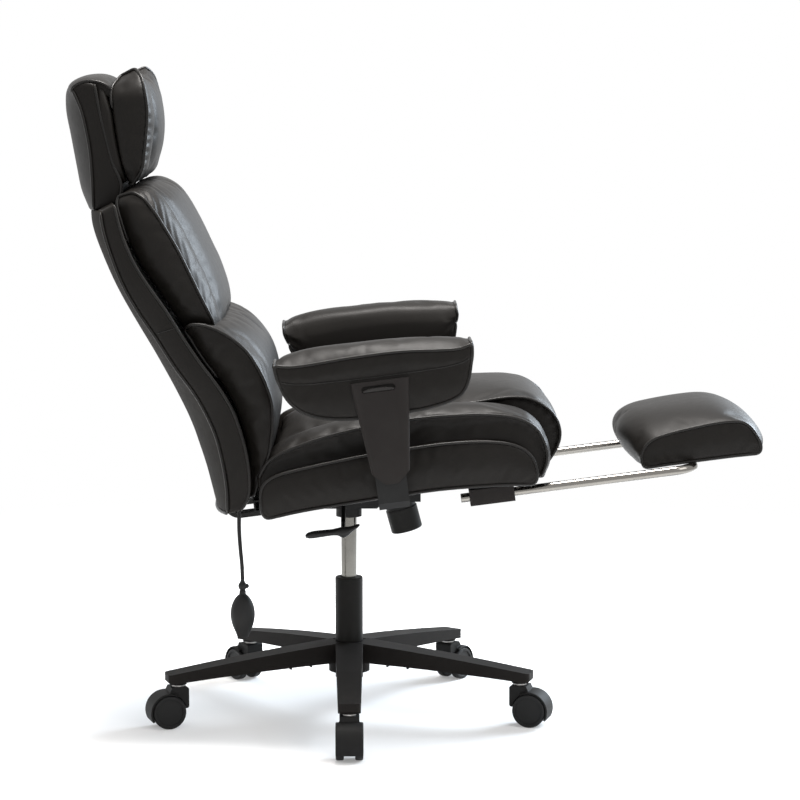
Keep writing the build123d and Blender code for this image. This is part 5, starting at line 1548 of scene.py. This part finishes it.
def grey(value: float) -> Triple:
    """A tone without colour."""
    return value, value, value


FINE = (("Pebble Scale", 900.0),)
COVER = Leather("cover_leather", (0.0045, 0.0038, 0.0031), (0.0125, 0.0108, 0.0094), (0.38, 0.54), 0.13)
REAR = Leather("rear_leather", (0.006, 0.0048, 0.0036), (0.015, 0.0125, 0.0095), (0.55, 0.7), 0.05)
TRIM = Leather(
    "cover_piping", (0.0042, 0.0038, 0.0034), (0.012, 0.011, 0.010), (0.30, 0.44), 0.2, effect_sizes=FINE
)

# Finishes by slot, and by node where a node has its own
FINISHES = {
    "moulded_black": Plastic(
        "moulded_plastic", (0.0105, 0.0088, 0.0084), (0.020, 0.018, 0.017), (0.5, 0.66), 0.09
    ),
    "button_black": Plastic(
        "button_plastic", (0.0095, 0.0082, 0.0078), (0.018, 0.017, 0.016), (0.42, 0.56), 0.16
    ),
    "caster_hood_black": Plastic("caster_plastic", grey(0.006), (0.017, 0.0165, 0.016), (0.46, 0.62), 0.1),
    "caster_tread_black": Plastic("tread_plastic", grey(0.008), grey(0.02), (0.42, 0.6), 0.16),
    "lever_black": Plastic("lever_plastic", grey(0.006), grey(0.018), (0.34, 0.5), 0.2),
    "knob_black": Plastic(
        "knob_plastic", (0.006, 0.0058, 0.0055), (0.016, 0.016, 0.015), (0.4, 0.56), 0.1
    ),
    "tube_black": Paint(
        "tube_paint", (0.0042, 0.004, 0.0036), (0.0105, 0.0102, 0.0095), (0.36, 0.5), 0.08
    ),
    "lift_steel": Metal("lift_steel", (0.11, 0.106, 0.096), (0.21, 0.205, 0.19), (0.16, 0.28)),
    "painted_steel": Paint("steel_paint", grey(0.006), grey(0.016), (0.42, 0.6), 0.14),
    "bracket_steel": Paint(
        "bracket_paint", (0.007, 0.0065, 0.006), (0.018, 0.018, 0.017), (0.4, 0.55), 0.16
    ),
    "plain_steel": Metal("plain_steel", (0.30, 0.29, 0.28), (0.48, 0.47, 0.46), (0.3, 0.45)),
    "rail_chrome": Metal(
        "rail_chrome", (0.19, 0.18, 0.165), (0.27, 0.258, 0.238), (0.1, 0.17), bump=0.01
    ),
    "clamp_steel": Metal("clamp_steel", grey(0.36), grey(0.52), (0.25, 0.4)),
    "plywood": Plywood("plywood", (0.28, 0.17, 0.08), (0.46, 0.30, 0.16), (0.55, 0.8)),
    "seat_board": Plastic("dust_cover", grey(0.006), grey(0.014), (0.7, 0.85), 0.05),
    "star_base": Plastic(
        "base_plastic", (0.0066, 0.0056, 0.005), (0.0135, 0.012, 0.011), (0.5, 0.66), 0.075
    ),
    "tilt_pivot_pin": Paint("blacked_steel", grey(0.008), grey(0.018), (0.4, 0.55), 0.14),
    "hose_rubber": Plastic("hose_rubber", grey(0.007), grey(0.018), (0.45, 0.6), 0.2),
    "valve_black": Plastic("valve_plastic", grey(0.008), grey(0.02), (0.35, 0.5), 0.2),
}


@dataclass
class LumbarPump:
    """The hand pump's hose, which hangs from the back."""

    exit: Triple = (-191.034, -130.0, 419.227)
    drops: tuple[float, ...] = (0, 28, 62, 98, 128, 152)
    sways: tuple[float, ...] = (0, -1.5, -2.0, 0.5, 3.5, 3.5)
    radius: float = 3.5
    length: float = 152.2

    def build(self, rubber: Material) -> None:
        """Hang the hose.

        Args:
            rubber: The hose's finish.
        """
        x, y, z = self.exit
        curve = bpy.data.curves.new("pump_hose_line", "CURVE")
        curve.dimensions = "3D"
        spline = curve.splines.new("NURBS")
        spline.points.add(len(self.drops) - 1)
        for point, sway, drop in zip(spline.points, self.sways, self.drops):
            point.co = ((x + sway) * MM, y * MM, (z - drop) * MM, 1)
        spline.order_u = 3
        spline.use_endpoint_u = True
        curve.resolution_u = 12
        curve.bevel_depth = self.radius * MM
        curve.bevel_resolution = 5
        curve.use_fill_caps = True
        curve.materials.append(rubber)
        hose = put_in_scene("pump_hose_line", curve)
        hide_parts("pump_hose")
        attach(hose, "pump")
        tuple(value * MM for value in self.exit)
        LOG.info("hung the pump hose")


@dataclass
class LeverHandle:
    """The lever's moulded handle: a slim curved grip with a boss where the rod comes in."""

    line: Points = (
        (-74.2, 367.2), (-69.6, 368.8), (-61.0, 370.4), (-46.0, 372.4), (-28.6, 374.4), (-18.0, 375.4),
        (-10.2, 375.0), (-2.6, 377.0), (6.0, 381.0), (14.6, 385.6), (18.0, 387.6),
    )
    thickness: tuple[float, ...] = (2.4, 5.2, 6.2, 5.8, 5.2, 6.6, 10.4, 7.4, 4.2, 3.0, 1.2)
    width: tuple[float, ...] = (4.0, 10.0, 12.6, 12.8, 12.0, 11.6, 12.0, 11.6, 11.0, 9.0, 4.0)
    middle_y: float = -241.5
    rings: int = 60
    sides: int = 24

    def build(self, plastic: Material) -> None:
        """Mould the handle round its line.

        Args:
            plastic: The handle's finish.
        """
        share = np.linspace(0, 1, self.rings)
        at = np.linspace(0, 1, len(self.line))
        dense = Rail(self.line).dense[1]
        marks = np.linspace(0, 1, len(dense))
        place = np.column_stack([np.interp(share, marks, dense[:, k]) for k in range(2)])
        ahead = np.gradient(place, axis=0)
        ahead /= np.linalg.norm(ahead, axis=1)[:, None]
        thick = self._eased(np.interp(share, at, self.thickness))
        wide = self._eased(np.interp(share, at, self.width))
        turn = np.linspace(0, 2 * math.pi, self.sides, endpoint=False)
        rows = []
        for (x, z), (run, rise), high, broad in zip(place, ahead, thick, wide):
            lift = high * np.sin(turn)
            side = self.middle_y + broad * np.cos(turn)
            rows.append(np.column_stack([x - rise * lift, side, z + run * lift]))
        faces = loft_faces(self.rings, self.sides)
        handle = make_object("lever_handle", np.vstack(rows) * MM, faces, plastic)
        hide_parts("lever_paddle")
        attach(handle, "lever")
        LOG.info("moulded the lever handle")

    @staticmethod
    def _eased(values: Array) -> Array:
        """Soften a row of sizes."""
        weights = np.array([1, 2, 3, 2, 1])
        padded = np.pad(values, len(weights) // 2, mode="edge")
        return np.convolve(padded, weights / weights.sum(), mode="valid")


@dataclass
class ArmLips:
    """The release lips in the arms' uprights: arched at the top and tapered to the foot."""

    middle_x: float = 76.0
    middle_up: float = 209.0
    outer: float = 376.0
    half_length: float = 27.7
    half_height: float = 4.7
    rise: float = 6.4
    proud: tuple[float, float] = (0.4, 3.8)
    arch: tuple[float, float] = (3, 0.6)
    face_power: float = 0.8
    edge_round: float = 0.7
    edge_rise: float = 0.2
    depth: float = 4.0
    columns: int = 49
    rows: int = 9

    def build(self, plastic: Material) -> None:
        """Mould both lips.

        Args:
            plastic: The lips' finish.
        """
        for side in Side:
            name = side.name.lower()
            points, faces = self._shell(side)
            lip = make_object(f"arm_lip_{name}", SEAT.to_world(points), faces, plastic)
            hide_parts(f"arm_button_{name}")
            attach(lip, f"arm_{name}_release")
        LOG.info("moulded the arm lips")

    def _shell(self, side: Side) -> tuple[Array, Faces]:
        """Shape one lip.

        Args:
            side: The sitter's side.

        Returns:
            Points of the seat frame, in mm, and the faces.
        """
        reach = np.linspace(-1, 1, self.columns)[1:-1]
        past = np.clip(np.abs(reach) * self.half_length - (self.half_length - self.half_height), 0, None)
        low = self.middle_up - np.sqrt(np.clip(self.half_height**2 - past**2, 0, None))
        high = low + self.rise * (1 - np.abs(reach) ** self.arch[0]) ** self.arch[1]
        share = np.linspace(0, 1, self.rows)
        rings = []
        for place, foot, top in zip(reach, low, high):
            brow = top + self.edge_rise
            up = np.append(foot + (top - foot) * share, [brow, brow, foot])
            fade = 1 - abs(place) ** PUFF_POWER
            front = self.proud[0] + (self.proud[1] - self.proud[0]) * share**self.face_power * fade
            out = np.append(front, [front[-1] - self.edge_round, -self.depth, -self.depth])
            along = np.full(len(up), self.middle_x + place * self.half_length)
            rings.append(np.column_stack([along, side.value * (self.outer + out), up]))
        return np.vstack(rings), loft_faces(len(rings), len(rings[0]))


@dataclass
class HardParts:
    """The rigid pieces that keep their solids and get their real finishes."""

    made: dict[str, Material] = field(default_factory=dict)

    def finish(self, key: str) -> Material:
        """Give the material of a slot, or of a node with its own, built at the first call."""
        if key not in self.made:
            self.made[key] = FINISHES[key].material()
        return self.made[key]

    def dress(self, nodes: dict[str, Piece], cover: Material) -> None:
        """Put the finishes on the solids.

        Args:
            nodes: The frame's nodes.
            cover: The leather, for solids that the cushions stand for.
        """
        for name, node in nodes.items():
            for place in node.material_slots:
                slot = place.material.name.split(".")[0] if place.material else ""
                key = name if name in FINISHES else slot
                place.material = self.finish(key) if key in FINISHES else cover
            LOG.info("dressed %s", name)


@dataclass(frozen=True)
class Lamp:
    """A soft square lamp: its place, what it looks at, its side in metres, its watts and its colour."""

    name: str
    place: Triple
    target: Triple
    size: float
    power: float
    colour: Triple

    def hang(self) -> None:
        """Hang the lamp."""
        data = bpy.data.lights.new(self.name, "AREA")
        data.size = self.size
        data.energy = self.power
        data.color = self.colour
        lamp = put_in_scene(self.name, data)
        lamp.location = self.place
        look = Vector(self.target) - Vector(self.place)
        lamp.rotation_euler = look.to_track_quat("-Z", "Y").to_euler()


@dataclass
class Studio:
    """A pale floor, soft lamps, a white surround and the camera."""

    eye: Triple = (0.0, -4.953, 1.213)
    lens: float = 125.28
    sensor: float = 36.0
    yaw: float = 0.0186
    pitch: float = 0.1287
    floor_size: float = 40.0
    floor_tone: float = 0.9
    floor_glow: float = 0.25
    floor_near: float = 0.7
    floor_far: float = 2.4
    ambient: float = 0.75
    lamps: tuple[Lamp, ...] = (
        Lamp("key_lamp", (2.4, -2.4, 3.2), (0.0, 0.0, 0.6), 2.4, 60.0, (1.0, 0.985, 0.97)),
        Lamp("front_lamp", (3.0, 2.0, 2.2), (-0.2, 0.0, 0.8), 2.2, 330.0, (0.8, 0.9, 1.0)),
        Lamp("top_lamp", (0.0, 0.1, 4.2), (0.0, 0.0, 0.0), 1.3, 330.0, (1.0, 0.97, 0.94)),
    )

    def build(self) -> None:
        """Make the whole studio."""
        bpy.context.scene.view_settings.view_transform = "Standard"
        self._camera()
        self._floor()
        self._world()
        for lamp in self.lamps:
            lamp.hang()

    def _camera(self) -> None:
        """Stand the camera where the photograph was taken."""
        data = bpy.data.cameras.new("camera")
        data.lens = self.lens
        data.sensor_width = self.sensor
        camera = put_in_scene("camera", data)
        camera.location = self.eye
        camera.rotation_euler = (math.pi / 2 - self.pitch, 0.0, -self.yaw)
        bpy.context.scene.camera = camera

    @staticmethod
    def _nodes(owner: Material | bpy.types.World) -> Nodes:
        """Give the owner's emptied node tree."""
        owner.use_nodes = True
        owner.node_tree.nodes.clear()
        return Nodes(owner.node_tree)

    def _floor(self) -> None:
        """Lay the floor, which shows as white and keeps shadows."""
        half = self.floor_size / 2
        corners = np.array([(-half, -half, 0), (half, -half, 0), (half, half, 0), (-half, half, 0)])
        material = bpy.data.materials.new("studio_floor")
        nodes = self._nodes(material)
        matt = nodes.add("ShaderNodeBsdfDiffuse", {"Color": (*grey(self.floor_tone), 1)}).outputs[0]
        glow = nodes.add("ShaderNodeEmission", {"Color": (1, 1, 1, 1), "Strength": 1.0}).outputs[0]
        away = nodes.add("ShaderNodeVectorMath", {0: nodes.place()}, operation="LENGTH").outputs["Value"]
        span = {"Value": away, "From Min": self.floor_near, "From Max": self.floor_far}
        span |= {"To Min": self.floor_glow, "To Max": 1.0}
        reach = nodes.add("ShaderNodeMapRange", span, interpolation_type="SMOOTHSTEP").outputs["Result"]
        share = nodes.math("MULTIPLY", nodes.seen(), reach)
        mix = nodes.add("ShaderNodeMixShader", {"Fac": share, 1: matt, 2: glow}).outputs[0]
        nodes.add("ShaderNodeOutputMaterial", {"Surface": mix})
        floor = make_object("studio_floor", corners, [(0, 1, 2, 3)], material)

    def _world(self) -> None:
        """Make a white surround with softer light."""
        world = bpy.data.worlds.new("studio")
        nodes = self._nodes(world)
        values = {"Color": (1, 1, 1, 1), "Strength": nodes.spread(nodes.seen(), self.ambient, 1.0)}
        light = nodes.add("ShaderNodeBackground", values).outputs[0]
        nodes.add("ShaderNodeOutputWorld", {"Surface": light})
        bpy.context.scene.world = world


def main() -> None:
    """Load the frame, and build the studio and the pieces."""
    logging.basicConfig(level=logging.INFO, format="%(message)s")
    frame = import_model()
    Studio().build()
    hard = HardParts()
    LumbarPump().build(hard.finish("hose_rubber"))
    LeverHandle().build(hard.finish("lever_black"))
    ArmLips().build(hard.finish("button_black"))
    leather = COVER.material()
    upholsterer = Upholsterer(leather, REAR.material(), TRIM.material())
    for part in (SeatCushions(), BackRest(), HeadRest(), ArmRests(), FootRest()):
        part.build(upholsterer)
    hard.dress(frame["nodes"], leather)


if __name__ == "__main__":
    main()
